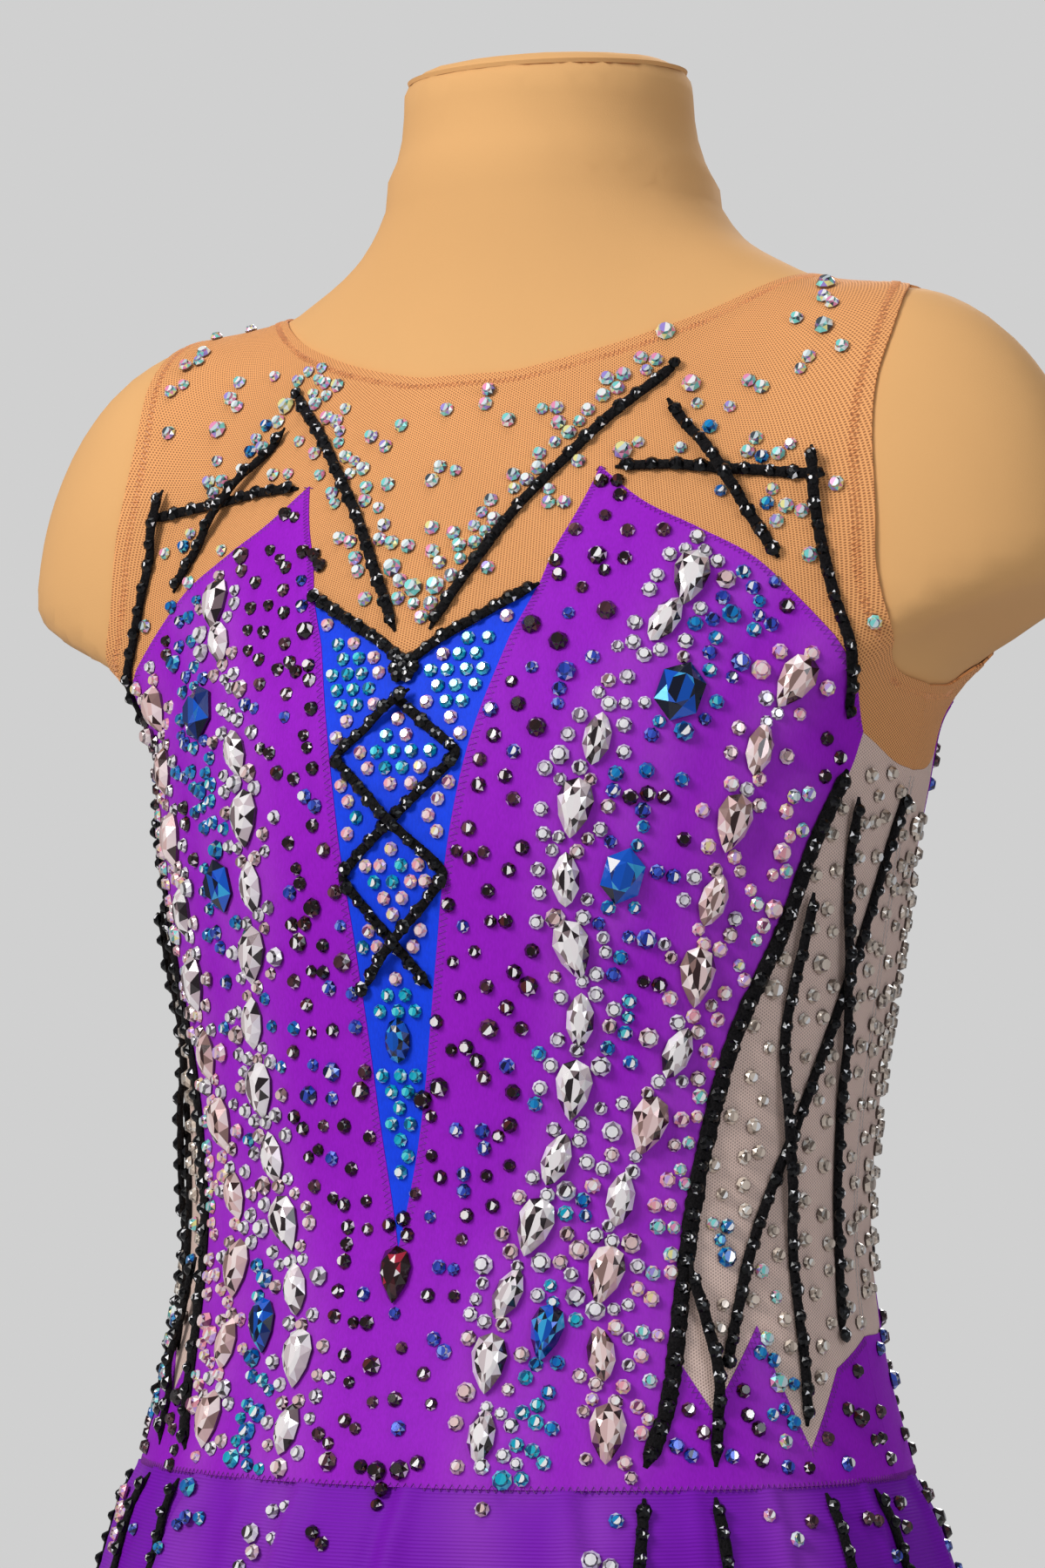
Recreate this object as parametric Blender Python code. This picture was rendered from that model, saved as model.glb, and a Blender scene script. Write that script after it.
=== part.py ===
"""A rhythmic gymnastics leotard with its skirt, worn by a dress form without head or limbs.

Metres, +Z up. The front faces -Y, the wearer's left is +X, and the form stands on z = 0.
A place on the garment is a Spot: an angle in degrees round the body (0 centre front, 90 the wearer's
left side, 180 centre back) and a level in centimetres. Between LOW and HIGH a level is a height. Above
and below them it goes on as an arc over the shoulders and under the crotch.
"""

import math
from collections import namedtuple

import bmesh
import bpy
import numpy as np
from mathutils import Vector
from mathutils.geometry import delaunay_2d_cdt

CM = 0.01
MM = 0.001

# Cloth and its seams
UNDER = 1.4 * MM  # from the form to the inside of the cloth
CLOTH = 1.2 * MM
OUTSIDE = UNDER + CLOTH
HEM_EXTRA = 0.8 * MM  # a turned hem is thicker by this
HEM_WIDTH = 0.7  # in levels
SEAM_HALF = 0.2 * MM  # each piece stops this far from the seam's line
LAID_ON = 0.7 * MM  # what is sewn on lies this far above the cloth
LAID_ON_YOKE = 1.2 * MM
LAID_ON_STONE = 0.55 * MM
BRIEF_UNDER = 1.9 * MM  # the brief is a little slack
SKIRT_UNDER = 3.7 * MM

# Cords and stones
CORD_WIDE = 4.6 * MM
CORD_HIGH = 2.0 * MM
LACE_WIDE = 3.6 * MM
LACE_HIGH = 1.6 * MM
CROSS_CLEAR = 0.5 * MM
CROSS_SLOPE = 14 * MM

# The trunk: half width, half depth and middle of each level section, in centimetres
Section = namedtuple("Section", "height half_width half_depth middle")
TRUNK = [
    Section(4.0, 11.5, 8.2, 0.4),
    Section(8.0, 12.6, 9.3, 0.3),
    Section(12.0, 13.4, 10.1, 0.2),
    Section(16.0, 13.5, 10.3, 0.1),
    Section(19.5, 12.9, 9.9, 0.0),
    Section(23.5, 11.9, 8.9, 0.0),
    Section(28.0, 11.4, 8.3, 0.2),
    Section(32.0, 11.6, 8.6, 0.5),
    Section(36.0, 12.1, 9.1, 0.7),
    Section(40.0, 12.7, 9.6, 0.9),
    Section(43.0, 13.2, 9.6, 1.2),
    Section(46.0, 13.5, 9.0, 1.5),
    Section(50.0, 13.4, 7.9, 1.9),
    Section(54.0, 12.9, 6.4, 2.4),
    Section(56.5, 11.8, 5.2, 2.5),
    Section(58.5, 9.4, 4.4, 2.5),
    Section(60.0, 6.2, 4.0, 2.4),
    Section(61.5, 4.0, 3.8, 2.4),
]
TRUNK_TOP = 0.605
CROTCH_HEIGHT = 0.075
CROTCH_ROUND = 0.02

NECK_LOW = np.array([0, 0.027, 0.56])
NECK_TOP = np.array([0, 0.0175, 0.664])
NECK_RADIUS = 0.0485
NECK_ROUND = 0.009
NECK_FALL = 0.004
NECK_FILLET = 0.045

ARM_MIDDLE = np.array([0.125, 0.015, 0.484])
ARM_RADII = np.array([0.068, 0.047, 0.093])
ARM_CUT_X, ARM_CUT_Z, ARM_CUT_SLOPE = 0.129, 0.455, 0.45
ARM_ROUND = 0.009
ARM_FILLET = 0.022

THIGH_TOP = 0.14
BELOW_BASE = -0.025  # the thighs run on this far before they are cut flat at the base
THIGH_MIDDLE, THIGH_BACK = 0.075, 0.003
THIGH_HALF_WIDTH, THIGH_HALF_DEPTH = 0.047, 0.068
THIGH_SWELL_WIDE, THIGH_SWELL_DEEP = 0.004, 0.011
THIGH_FILLET = 0.022

# The chart of the garment
BAR = 0.045
LOW, HIGH = 0.15, 0.46
ARC_LOW, ARC_HIGH = 0.10, 0.13
REACH = 0.21
DEGREE_CM = 0.2  # a degree counts as this many centimetres in the chart
CROTCH = (LOW - ARC_LOW * math.pi / 2) / CM

Spot = namedtuple("Spot", "angle level")

HIP = 20.0
BRIEF_TOP = 19.95
NECK_FRONT = [
    Spot(0, 59.25),
    Spot(9, 59.3),
    Spot(17, 59.6),
    Spot(28, 60.1),
    Spot(42, 60.7),
    Spot(60, 61.2),
    Spot(75, 61.4),
    Spot(90, 61.3),
]
NECK_BACK = [Spot(90, 61.3), Spot(120, 60.9), Spot(150, 60.3), Spot(180, 60.0)]
ARM_FRONT = [
    Spot(90, 58.2),
    Spot(80, 57.3),
    Spot(73, 56.1),
    Spot(68.5, 54.8),
    Spot(66, 53.0),
    Spot(65, 50.5),
    Spot(65, 48.2),
    Spot(67.5, 46.3),
    Spot(76, 45.2),
    Spot(90, 44.9),
]
MESH_TOP = [Spot(90, 42.2), Spot(81, 42.4), Spot(70.7, 43.2)]
CUP_OUTER = [
    Spot(70.7, 43.2),
    Spot(67, 44.5),
    Spot(62, 45.7),
    Spot(56, 47.8),
    Spot(50, 49.8),
    Spot(42, 51.3),
    Spot(34, 52.7),
    Spot(27, 54.7),
]
CUP_INNER = [Spot(27, 54.7), Spot(23.5, 52.5), Spot(20, 50.4), Spot(18, 48.6)]
WEDGE_TOP = [Spot(18, 48.6), Spot(8.6, 46.6), Spot(0, 45.2)]
WEDGE_SIDE = [
    Spot(18, 48.6),
    Spot(13.2, 45.3),
    Spot(9.8, 42.5),
    Spot(7.3, 39.0),
    Spot(5.2, 35.0),
    Spot(3.0, 30.8),
    Spot(0, 27.1),
]
MESH_FRONT = [
    Spot(70.7, 43.2),
    Spot(68.5, 41.9),
    Spot(62.5, 39.8),
    Spot(57.5, 37.0),
    Spot(50.0, 33.8),
    Spot(45.4, 30.0),
    Spot(42.7, 26.4),
    Spot(42.0, 23.6),
]
MESH_FOOT = [
    Spot(42.0, 23.6),
    Spot(46.5, 22.2),
    Spot(56, 24.8),
    Spot(64.5, 21.0),
    Spot(76, 23.4),
    Spot(90, 24.3),
]
MESH_BACK = [
    Spot(109.3, 43.2),
    Spot(117, 38),
    Spot(121, 32),
    Spot(117, 27),
    Spot(108, 24.6),
    Spot(90, 24.3),
]
YOKE_BACK = [Spot(109.3, 43.2), Spot(125, 46.2), Spot(150, 47.6), Spot(180, 48.0)]
LEG_FRONT = [
    Spot(90, 14.2),
    Spot(68, 13.4),
    Spot(48, 12.2),
    Spot(32, 11.0),
    Spot(22, 9.8),
    Spot(15.5, 8.2),
    Spot(12.0, 6.5),
    Spot(11.5, 4.5),
    Spot(13.0, 2.5),
    Spot(16.5, 0.8),
    Spot(21, CROTCH),
]
LEG_BACK = [
    Spot(90, 14.2),
    Spot(113, 12.6),
    Spot(132, 10.8),
    Spot(147, 9.0),
    Spot(158, 7.2),
    Spot(165.5, 5.2),
    Spot(167, 2.6),
    Spot(163.5, 0.8),
    Spot(159, CROTCH),
]

# Skirt
SKIRT_TOP = 19.9
HEM = 5.0
SKIRT_SEAM = 13.5
SKIRT_BACK_SEAM = 180.0
SKIRT_FLARE = math.radians(16)
SKIRT_FALLS = 10  # soft flutes all round
FALL_DEEP = 8 * MM

# Cord trims, each on both sides of the garment
EDGE_CORD = [
    Spot(68.0, 42.0),
    Spot(62.5, 39.8),
    Spot(57.5, 37.0),
    Spot(50, 33.8),
    Spot(45.4, 30),
    Spot(42.7, 26.4),
    Spot(39.5, 22.6),
    Spot(35.5, 20.6),
]
SPRAYS = {
    "inner": [Spot(2.6, 46.5), Spot(7, 49.2), Spot(15, 53.2), Spot(28, 57.0), Spot(43, 59.2)],
    "middle": [Spot(29.5, 54.6), Spot(41, 54.4), Spot(52, 53.6), Spot(61, 52.4)],
    "outer": [Spot(40.0, 57.6), Spot(46, 54.8), Spot(51, 51.4), Spot(54, 49.5)],
}
WEBS = {
    "long": [Spot(88, 41.6), Spot(78, 36.5), Spot(66, 31.5), Spot(56, 27.5), Spot(49.5, 23.6)],
    "cross": [Spot(70.5, 41.2), Spot(73, 36.5), Spot(78, 31.5), Spot(80, 27), Spot(79, 24.4)],
    "short": [Spot(62.5, 38.2), Spot(60, 33.5), Spot(64, 28.5), Spot(66, 24), Spot(64.5, 21.7)],
}
LACING = [Spot(-1.6, 44.35), Spot(9.0, 42.4), Spot(-7.6, 38.7), Spot(5.0, 35.2)]

# Sewn-on stones: outline sides, length along the body, width, height in millimetres, and lean in degrees
Stone = namedtuple("Stone", "name spot sides length width height lean")
STONES = [
    Stone("drop_centre", Spot(0, 26.3), 10, 18, 11, 5, 0),
    Stone("oval_wedge", Spot(0, 33.6), 10, 14, 9, 4, 0),
    Stone("hexagon_cup_left", Spot(38, 44.2), 6, 20, 16, 5, 20),
    Stone("hexagon_cup_right", Spot(-38, 44.2), 6, 20, 16, 5, -20),
    Stone("hexagon_low_left", Spot(31, 38.6), 6, 18, 14, 5, 15),
    Stone("hexagon_low_right", Spot(-31, 38.6), 6, 18, 14, 5, -15),
    Stone("drop_hip_left", Spot(22, 24.6), 10, 18, 10.5, 5, 12),
    Stone("drop_hip_right", Spot(-22, 24.6), 10, 18, 10.5, 5, -12),
]

# Fineness of the solids: the form's in metres, steps in centimetres
ROW_SHARE = 0.87  # rows of points are this share of a step apart
CLEAR_SHARE = 0.62  # and keep this share of a step from an edge
FORM_CELL = 0.029
FORM_LOW = (-0.212, -0.125, -0.05)
FORM_HIGH = (0.215, 0.135, 0.69)
FORM_BULGE = 0.3 * MM
FORM_SAG = 1.7 * MM
STEP_TRUNK = 1.95
STEP_TIGHT = 1.4
STEP_FINE = 0.8
UNDERARM_HALF, UNDERARM_LOW, UNDERARM_HIGH = 31, 43.8, 47.8
TIGHT_ABOVE = 49.0
TIGHT_BELOW = 9.6
CORD_STEP = 1.2
LACE_STEP = 0.8
SKIRT_STEP = 1.7
CROTCH_STEP = 0.8

JERSEY = ("jersey", (0.72, 0.49, 0.28), 0.85, 0.0)
NET = ("nude_net", (0.66, 0.42, 0.26), 0.8, 0.0)
GREY_NET = ("grey_net", (0.40, 0.32, 0.29), 0.8, 0.0)
PURPLE = ("purple_lycra", (0.26, 0.03, 0.42), 0.45, 0.0)
BLUE = ("blue_lycra", (0.02, 0.11, 0.66), 0.45, 0.0)
RIBBED = ("purple_rib", (0.22, 0.025, 0.36), 0.6, 0.0)
BLACK = ("black_cord", (0.012, 0.012, 0.014), 0.7, 0.0)
CRYSTAL = ("crystal", (0.05, 0.15, 0.55), 0.1, 0.0)


def column(heights, name):
    """A column of the trunk's table at these heights, on a smooth curve through its rows."""
    z = np.array([row.height for row in TRUNK]) * CM
    value = np.array([getattr(row, name) for row in TRUNK]) * CM
    slope = np.gradient(value, z)
    h = np.clip(heights, z[0], z[-1])
    i = np.clip(np.searchsorted(z, h) - 1, 0, len(z) - 2)
    step = z[i + 1] - z[i]
    t = (h - z[i]) / step
    return (
        (2 * t**3 - 3 * t**2 + 1) * value[i]
        + (t**3 - 2 * t**2 + t) * step * slope[i]
        + (3 * t**2 - 2 * t**3) * value[i + 1]
        + (t**3 - t**2) * step * slope[i + 1]
    )


def to_ellipse(offsets, radii):
    scaled = offsets / radii
    k = np.sqrt((scaled**2).sum(-1)) + 1e-9
    return (k - 1) * k / (np.sqrt(((scaled / radii) ** 2).sum(-1)) + 1e-9)


def merged(a, b, fillet):
    """Two distances joined with a fillet."""
    h = np.clip(0.5 + 0.5 * (b - a) / fillet, 0, 1)
    return b + (a - b) * h - fillet * h * (1 - h)


def trimmed(a, b, round_edge):
    return -merged(-a, -b, round_edge)


def sided(p):
    q = p.copy()
    q[:, 0] = np.abs(q[:, 0])
    return q


def trunk(p):
    z = p[:, 2]
    across = np.stack([p[:, 0], p[:, 1] - column(z, "middle")], -1)
    radii = np.stack([column(z, "half_width"), column(z, "half_depth")], -1)
    side = to_ellipse(across, radii)
    return trimmed(np.maximum(side, z - TRUNK_TOP), CROTCH_HEIGHT - z, CROTCH_ROUND)


def neck(p):
    axis = NECK_TOP - NECK_LOW
    length = np.linalg.norm(axis)
    axis = axis / length
    rel = p - NECK_LOW
    along = rel @ axis
    radial = np.sqrt(np.maximum((rel**2).sum(-1) - along**2, 0))
    fall = NECK_FALL * np.clip(radial / NECK_RADIUS, 0, 1.5) ** 2
    out = radial - NECK_RADIUS + NECK_ROUND
    up = along - length + fall + NECK_ROUND
    corner = np.hypot(np.maximum(out, 0), np.maximum(up, 0))
    return np.maximum(corner + np.minimum(np.maximum(out, up), 0) - NECK_ROUND, -along)


def arm(p):
    q = sided(p)
    cut = ARM_CUT_Z + ARM_CUT_SLOPE * (q[:, 0] - ARM_CUT_X) - q[:, 2]
    return trimmed(to_ellipse(q - ARM_MIDDLE, ARM_RADII), cut / math.hypot(1, ARM_CUT_SLOPE), ARM_ROUND)


def thigh(p):
    q = sided(p)
    z = np.clip(q[:, 2], BELOW_BASE, THIGH_TOP)
    swell = np.sin(math.pi * np.maximum(z, 0) / THIGH_TOP)
    wide = THIGH_HALF_WIDTH + THIGH_SWELL_WIDE * swell
    deep = THIGH_HALF_DEPTH + THIGH_SWELL_DEEP * swell
    across = np.stack([q[:, 0] - THIGH_MIDDLE, q[:, 1] - THIGH_BACK], -1)
    ends = np.maximum(q[:, 2] - THIGH_TOP, BELOW_BASE - q[:, 2])
    return np.maximum(to_ellipse(across, np.stack([wide, deep], -1)), ends)


def body(p):
    """How far points lie outside the form, about in metres."""
    d = merged(trunk(p), thigh(p), THIGH_FILLET)
    d = merged(d, arm(p), ARM_FILLET)
    return merged(d, neck(p), NECK_FILLET)


def facing(p, e=0.5 * MM):
    """The form's outward direction at points on or near it."""
    g = np.stack([body(p + e * d) - body(p - e * d) for d in np.eye(3)], -1)
    return g / np.maximum(np.linalg.norm(g, axis=-1, keepdims=True), 1e-9)


def on_body(spots):
    """The points on the form at spots, each found along a ray from a short bar in the trunk."""
    a = np.radians(spots[:, 0])
    level = spots[:, 1] * CM
    tilt = np.maximum(level - HIGH, 0) / ARC_HIGH - np.maximum(LOW - level, 0) / ARC_LOW
    z = np.clip(level, LOW, HIGH)
    start = np.stack([BAR * np.sin(a), column(z, "middle"), z], -1)
    way = np.stack([np.sin(a) * np.cos(tilt), -np.cos(a) * np.cos(tilt), np.sin(tilt)], -1)
    marks = np.linspace(0.01, REACH, 60)
    low = np.full(len(a), marks[0])
    high = np.full(len(a), REACH)
    still_inside = np.ones(len(a), bool)
    for near, far in zip(marks[:-1], marks[1:]):
        out = still_inside & (body(start + way * far) > 0)
        low[out], high[out] = near, far
        still_inside &= ~out
    for _ in range(24):
        middle = (low + high) / 2
        inside = body(start + way * middle[:, None]) < 0
        low = np.where(inside, middle, low)
        high = np.where(inside, high, middle)
    return start + way * low[:, None]


def cloth(spots):
    """Points on the form at spots and the direction that cloth is laid outward there."""
    p = on_body(spots)
    return p, facing(p)


def falls(angle):
    """The skirt's flutes, from -1 to 1, a little uneven."""
    a = np.radians(angle)
    return 0.75 * np.cos(SKIRT_FALLS * a + 0.6 * np.sin(2 * a) + 0.5) + 0.25 * np.cos(3 * a + 1.1)


def skirt(spots):
    """Points of the skirt's inside face at spots, and its outward direction."""
    top = np.stack([spots[:, 0], np.full(len(spots), SKIRT_TOP)], -1)
    p = on_body(top)
    out = facing(p)
    out[:, 2] = 0
    out /= np.linalg.norm(out, axis=1, keepdims=True)
    drop = (SKIRT_TOP - spots[:, 1]) * CM
    share = drop / ((SKIRT_TOP - HEM) * CM)
    run = drop * math.tan(SKIRT_FLARE) + FALL_DEEP * falls(spots[:, 0]) * share**0.9
    p = p + out * run[:, None]
    p[:, 2] = spots[:, 1] * CM
    lean = np.stack([out[:, 0], out[:, 1], np.full(len(p), math.tan(SKIRT_FLARE))], -1)
    return p, lean / np.linalg.norm(lean, axis=1, keepdims=True)


def step_at(spot):
    """How far apart points are near a spot, in centimetres."""
    angle, level = spot
    from_side = abs(angle % 180 - 90)
    if level < TIGHT_BELOW or (from_side < UNDERARM_HALF and UNDERARM_LOW < level < UNDERARM_HIGH):
        return STEP_FINE
    return STEP_TIGHT if level > TIGHT_ABOVE else STEP_TRUNK


def resampled(points, step):
    """Points evenly along a polyline in the chart, keeping its ends."""
    flat = points * [DEGREE_CM, 1]
    along = np.concatenate([[0], np.cumsum(np.linalg.norm(np.diff(flat, axis=0), axis=1))])
    count = max(1, math.ceil(along[-1] / step))
    marks = np.linspace(0, along[-1], count + 1)
    return np.stack([np.interp(marks, along, points[:, k]) for k in range(2)], -1)


def curve(spots, step=None):
    """A smooth line through spots, with points a step apart."""
    p = np.array(spots, float)
    p = np.concatenate([[2 * p[0] - p[1]], p, [2 * p[-1] - p[-2]]])
    t = np.linspace(0, 1, 12, endpoint=False)[:, None]
    bits = []
    for a, b, c, d in zip(p[:-3], p[1:-2], p[2:-1], p[3:]):
        square = 2 * a - 5 * b + 4 * c - d
        cube = 3 * b - a - 3 * c + d
        bits.append(b + 0.5 * ((c - a) * t + square * t**2 + cube * t**3))
    fine = np.concatenate(bits + [p[-2:-1]])
    return resampled(fine, step or min(step_at(spot) for spot in fine))


def straight(spots, step=None):
    """Straight runs between spots, each with points about a step apart."""
    p = np.array(spots, float)
    runs = []
    for start, end in zip(p[:-1], p[1:]):
        runs.append(resampled(np.array([start, end]), step or min(step_at(start), step_at(end))))
    return joined(*runs)


def joined(*lines):
    return np.concatenate([lines[0]] + [line[1:] for line in lines[1:]])


def mirrored(line, middle=0):
    """The line on the other side of the centre front (0) or back (180), run the other way."""
    return np.stack([2 * middle - line[::-1, 0], line[::-1, 1]], -1)


def within(spots, loop):
    """Whether spots lie inside a closed loop of the chart."""
    inside = np.zeros(len(spots), bool)
    x, y = spots.T
    for (x0, y0), (x1, y1) in zip(loop, np.roll(loop, -1, axis=0)):
        if y0 == y1:
            continue
        cuts = (y0 > y) != (y1 > y)
        inside ^= cuts & (x < (x1 - x0) * (y - y0) / (y1 - y0) + x0)
    return inside


def lattice(loop, kept_clear, spacing):
    """Staggered rows of spots inside a loop, clear of its edge and of other spots."""
    spots = []
    for step in sorted({spacing(spot) for spot in loop}):
        levels = np.arange(loop[:, 1].min(), loop[:, 1].max(), step * ROW_SHARE)
        wide = step / DEGREE_CM
        angles = np.arange(loop[:, 0].min(), loop[:, 0].max(), wide)
        for row, level in enumerate(levels):
            moved = angles + (row % 2) * wide / 2
            spots += [(angle, level) for angle in moved if spacing((angle, level)) == step]
    spots = np.array(spots)
    spots = spots[within(spots, loop)]
    near = np.linalg.norm((spots[:, None] - kept_clear[None]) * [DEGREE_CM, 1], axis=2).min(1)
    return spots[near > CLEAR_SHARE * np.array([spacing(spot) for spot in spots])]


def material(look):
    name, colour, roughness, metallic = look
    made = bpy.data.materials.get(name)
    if made:
        return made
    made = bpy.data.materials.new(name)
    made.use_nodes = True
    shader = made.node_tree.nodes["Principled BSDF"]
    shader.inputs["Base Color"].default_value = (*colour, 1)
    shader.inputs["Roughness"].default_value = roughness
    shader.inputs["Metallic"].default_value = metallic
    made.diffuse_color = (*colour, 1)
    return made


def show(name, mesh, look):
    mesh.materials.append(material(look))
    mesh.shade_smooth()
    mesh.set_sharp_from_angle(angle=math.radians(50))
    bpy.context.scene.collection.objects.link(bpy.data.objects.new(name, mesh))


def solid(name, points, faces, look):
    mesh = bpy.data.meshes.new(name)
    mesh.from_pydata([tuple(p) for p in points], [], [tuple(int(i) for i in f) for f in faces])
    show(name, mesh, look)


def drawn_in(points, out, loop_size):
    """The rim's points moved off the seam's line, into the piece."""
    rim = points[:loop_size]
    ahead = np.roll(rim, -1, axis=0) - rim
    inward = np.cross(out[:loop_size], ahead)
    inward /= np.linalg.norm(inward, axis=1, keepdims=True)
    before = np.roll(inward, 1, axis=0)
    spread = 1 + (inward * before).sum(1, keepdims=True)
    return rim + SEAM_HALF * (inward + before) / np.maximum(spread, 0.3)


def wall(name, loop, look, surface=cloth, under=UNDER, extra=None, hem=None, spacing=step_at):
    """A cut piece: a wall between two layers of points over the chart's loop."""
    loop = loop[:-1] if np.allclose(loop[0], loop[-1]) else loop
    turn = (loop[:, 0] * np.roll(loop[:, 1], -1) - np.roll(loop[:, 0], -1) * loop[:, 1]).sum()
    if turn < 0:
        loop = loop[::-1]
    kept = loop if extra is None else np.concatenate([loop, extra[within(extra, loop)]])
    spots = np.concatenate([kept, lattice(loop, kept, spacing)])
    flat = [tuple(s) for s in spots * [DEGREE_CM, 1]]
    size = len(loop)
    ring = [(i, (i + 1) % size) for i in range(size)]
    made = delaunay_2d_cdt([Vector(f) for f in flat], ring, [], 1, 1e-5)
    source = [origins[0] for origins in made[3]]
    triangles = [[source[i] for i in face] for face in made[2]]
    base, out = surface(spots)
    base[:size] = drawn_in(base, out, size)
    thick = np.full(len(spots), CLOTH)
    if hem is not None:
        thick += HEM_EXTRA * hem(spots)
    inner = base + out * under
    outer = base + out * (under + thick)[:, None]
    count = len(spots)
    faces = triangles + [[i + count for i in reversed(f)] for f in triangles]
    for i, j in ring:
        faces.append([i, i + count, j])
        faces.append([j, i + count, j + count])
    solid(name, np.concatenate([outer, inner]), faces, look)


def strip(points, out, wide, high):
    """The points and faces of a flattened cord along a line, lying on its lower side."""
    ahead = np.gradient(points, axis=0)
    ahead /= np.linalg.norm(ahead, axis=1, keepdims=True)
    side = np.cross(ahead, out)
    side /= np.linalg.norm(side, axis=1, keepdims=True)
    across = np.array([-0.5, -0.3, 0.3, 0.5]) * wide
    up = np.array([0, 1, 1, 0]) * high
    ring = points[:, None] + side[:, None] * across[:, None] + out[:, None] * up[:, None]
    sides = len(across)
    count = len(points)
    faces = []
    for i in range(count - 1):
        for k in range(sides):
            a, b = i * sides + k, i * sides + (k + 1) % sides
            faces += [[a, b, a + sides], [b, b + sides, a + sides]]
    last = (count - 1) * sides
    for k in range(1, sides - 1):
        faces += [[0, k + 1, k], [last, last + k, last + k + 1]]
    return ring.reshape(-1, 3), faces


def lift_over(points, others, clear):
    """How far a cord rises at its points to pass over other cords."""
    if others is None:
        return np.zeros(len(points))
    gap = np.linalg.norm(points[:, None] - others[None], axis=2).min(1)
    t = np.clip((gap - clear) / CROSS_SLOPE, 0, 1)
    return (CORD_HIGH + CROSS_CLEAR) * (1 - t * t * (3 - 2 * t))


def cord(name, line, wide=CORD_WIDE, high=CORD_HIGH, over=None, rest=LAID_ON):
    """A cord sewn along a line of the chart. Returns the points that it runs through."""
    base, out = cloth(line)
    lift = lift_over(base, over, 1.2 * wide)
    points, faces = strip(base + out * (OUTSIDE + rest + lift)[:, None], out, wide, high)
    solid(name, points, faces, BLACK)
    return base


def stone(row):
    """A cut stone with a flat back, its crown a smaller outline of the same shape."""
    middle, out = (v[0] for v in cloth(np.array([row.spot])))
    up = np.array([0, 0, 1]) - out * out[2]
    up /= np.linalg.norm(up)
    across = np.cross(out, up)
    lean = math.radians(row.lean)
    along = up * math.cos(lean) + across * math.sin(lean)
    side = across * math.cos(lean) - up * math.sin(lean)
    turn = np.arange(row.sides) * 2 * math.pi / row.sides
    rings = []
    for share, rise in ((0.94, 0), (1, 0.35), (0.55, 1)):
        ring = np.outer(np.cos(turn) * row.width, side) + np.outer(np.sin(turn) * row.length, along)
        rings.append(middle + ring * share / 2 * MM + out * (OUTSIDE + LAID_ON_STONE + rise * row.height * MM))
    n = row.sides
    faces = [list(range(n)), list(range(3 * n - 1, 2 * n - 1, -1))]
    for level in range(2):
        for k in range(n):
            a, b = level * n + k, level * n + (k + 1) % n
            faces.append([a, a + n, b + n, b])
    solid("stone_" + row.name, np.concatenate(rings), faces, CRYSTAL)


def form_skin(cell):
    """Quads round the form: a point in each grid cell that its surface crosses."""
    axes = [np.arange(lo, hi + cell, cell) for lo, hi in zip(FORM_LOW, FORM_HIGH)]
    grid = np.stack(np.meshgrid(*axes, indexing="ij"), -1)
    value = body(grid.reshape(-1, 3)).reshape(grid.shape[:3])
    inside = value < 0
    shape = np.array(inside.shape) - 1
    total = np.zeros((*shape, 3))
    hits = np.zeros(shape)
    for axis in range(3):
        others = [k for k in range(3) if k != axis]
        for i, j in ((0, 0), (0, 1), (1, 0), (1, 1)):
            near = np.zeros(3, int)
            near[others[0]], near[others[1]] = i, j
            far = near.copy()
            far[axis] = 1
            a = tuple(slice(n, n + size) for n, size in zip(near, shape))
            b = tuple(slice(n, n + size) for n, size in zip(far, shape))
            cross = inside[a] != inside[b]
            share = np.where(cross, value[a] / np.where(cross, value[a] - value[b], 1), 0)[..., None]
            total += np.where(cross[..., None], grid[a] + share * (grid[b] - grid[a]), 0)
            hits += cross
    crossed = hits > 0
    number = np.full(shape, -1)
    number[crossed] = np.arange(crossed.sum())
    points = total[crossed] / hits[crossed][:, None]
    quads = []
    for axis in range(3):
        u, v = (axis + 1) % 3, (axis + 2) % 3
        change = -np.diff(inside.astype(int), axis=axis)
        for at in np.argwhere(change != 0):
            ring = []
            for du, dv in ((1, 1), (0, 1), (0, 0), (1, 0)):
                cell_at = at.copy()
                cell_at[u] -= du
                cell_at[v] -= dv
                ring.append(int(number[tuple(cell_at)]))
            quads.append(ring if change[tuple(at)] > 0 else ring[::-1])
    return points, quads


def settled(points, rounds=6):
    """Points moved onto the form's surface."""
    for _ in range(rounds):
        points = points - facing(points) * body(points)[:, None]
    return points


def refine(bm):
    """Splits the edges whose middle is off the form, and moves the new points onto it."""
    edges = list(bm.edges)
    middles = np.array([(e.verts[0].co + e.verts[1].co) / 2 for e in edges])
    gap = body(middles)
    far = ((gap > FORM_BULGE) | (gap < -FORM_SAG)) & (middles[:, 2] > FORM_CELL / 2)
    old = set(bm.verts)
    bmesh.ops.subdivide_edges(bm, edges=[edge for edge, off in zip(edges, far) if off], cuts=1)
    bmesh.ops.triangulate(bm, faces=bm.faces)
    new = [v for v in bm.verts if v not in old]
    for v, p in zip(new, settled(np.array([v.co for v in new]))):
        v.co = p


def dress_form():
    points, quads = form_skin(FORM_CELL)
    bm = bmesh.new()
    verts = [bm.verts.new(p) for p in settled(points)]
    for quad in quads:
        bm.faces.new([verts[i] for i in quad])
    bmesh.ops.triangulate(bm, faces=bm.faces)
    for _ in range(3):
        refine(bm)
    geometry = list(bm.verts) + list(bm.edges) + list(bm.faces)
    bmesh.ops.bisect_plane(
        bm, geom=geometry, plane_co=(0, 0, 0), plane_no=(0, 0, -1), clear_outer=True, dist=1e-5
    )
    bmesh.ops.holes_fill(bm, edges=[edge for edge in bm.edges if edge.is_boundary])
    bmesh.ops.triangulate(bm, faces=bm.faces)
    mesh = bpy.data.meshes.new("dress_form")
    bm.to_mesh(mesh)
    bm.free()
    show("dress_form", mesh, JERSEY)


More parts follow.
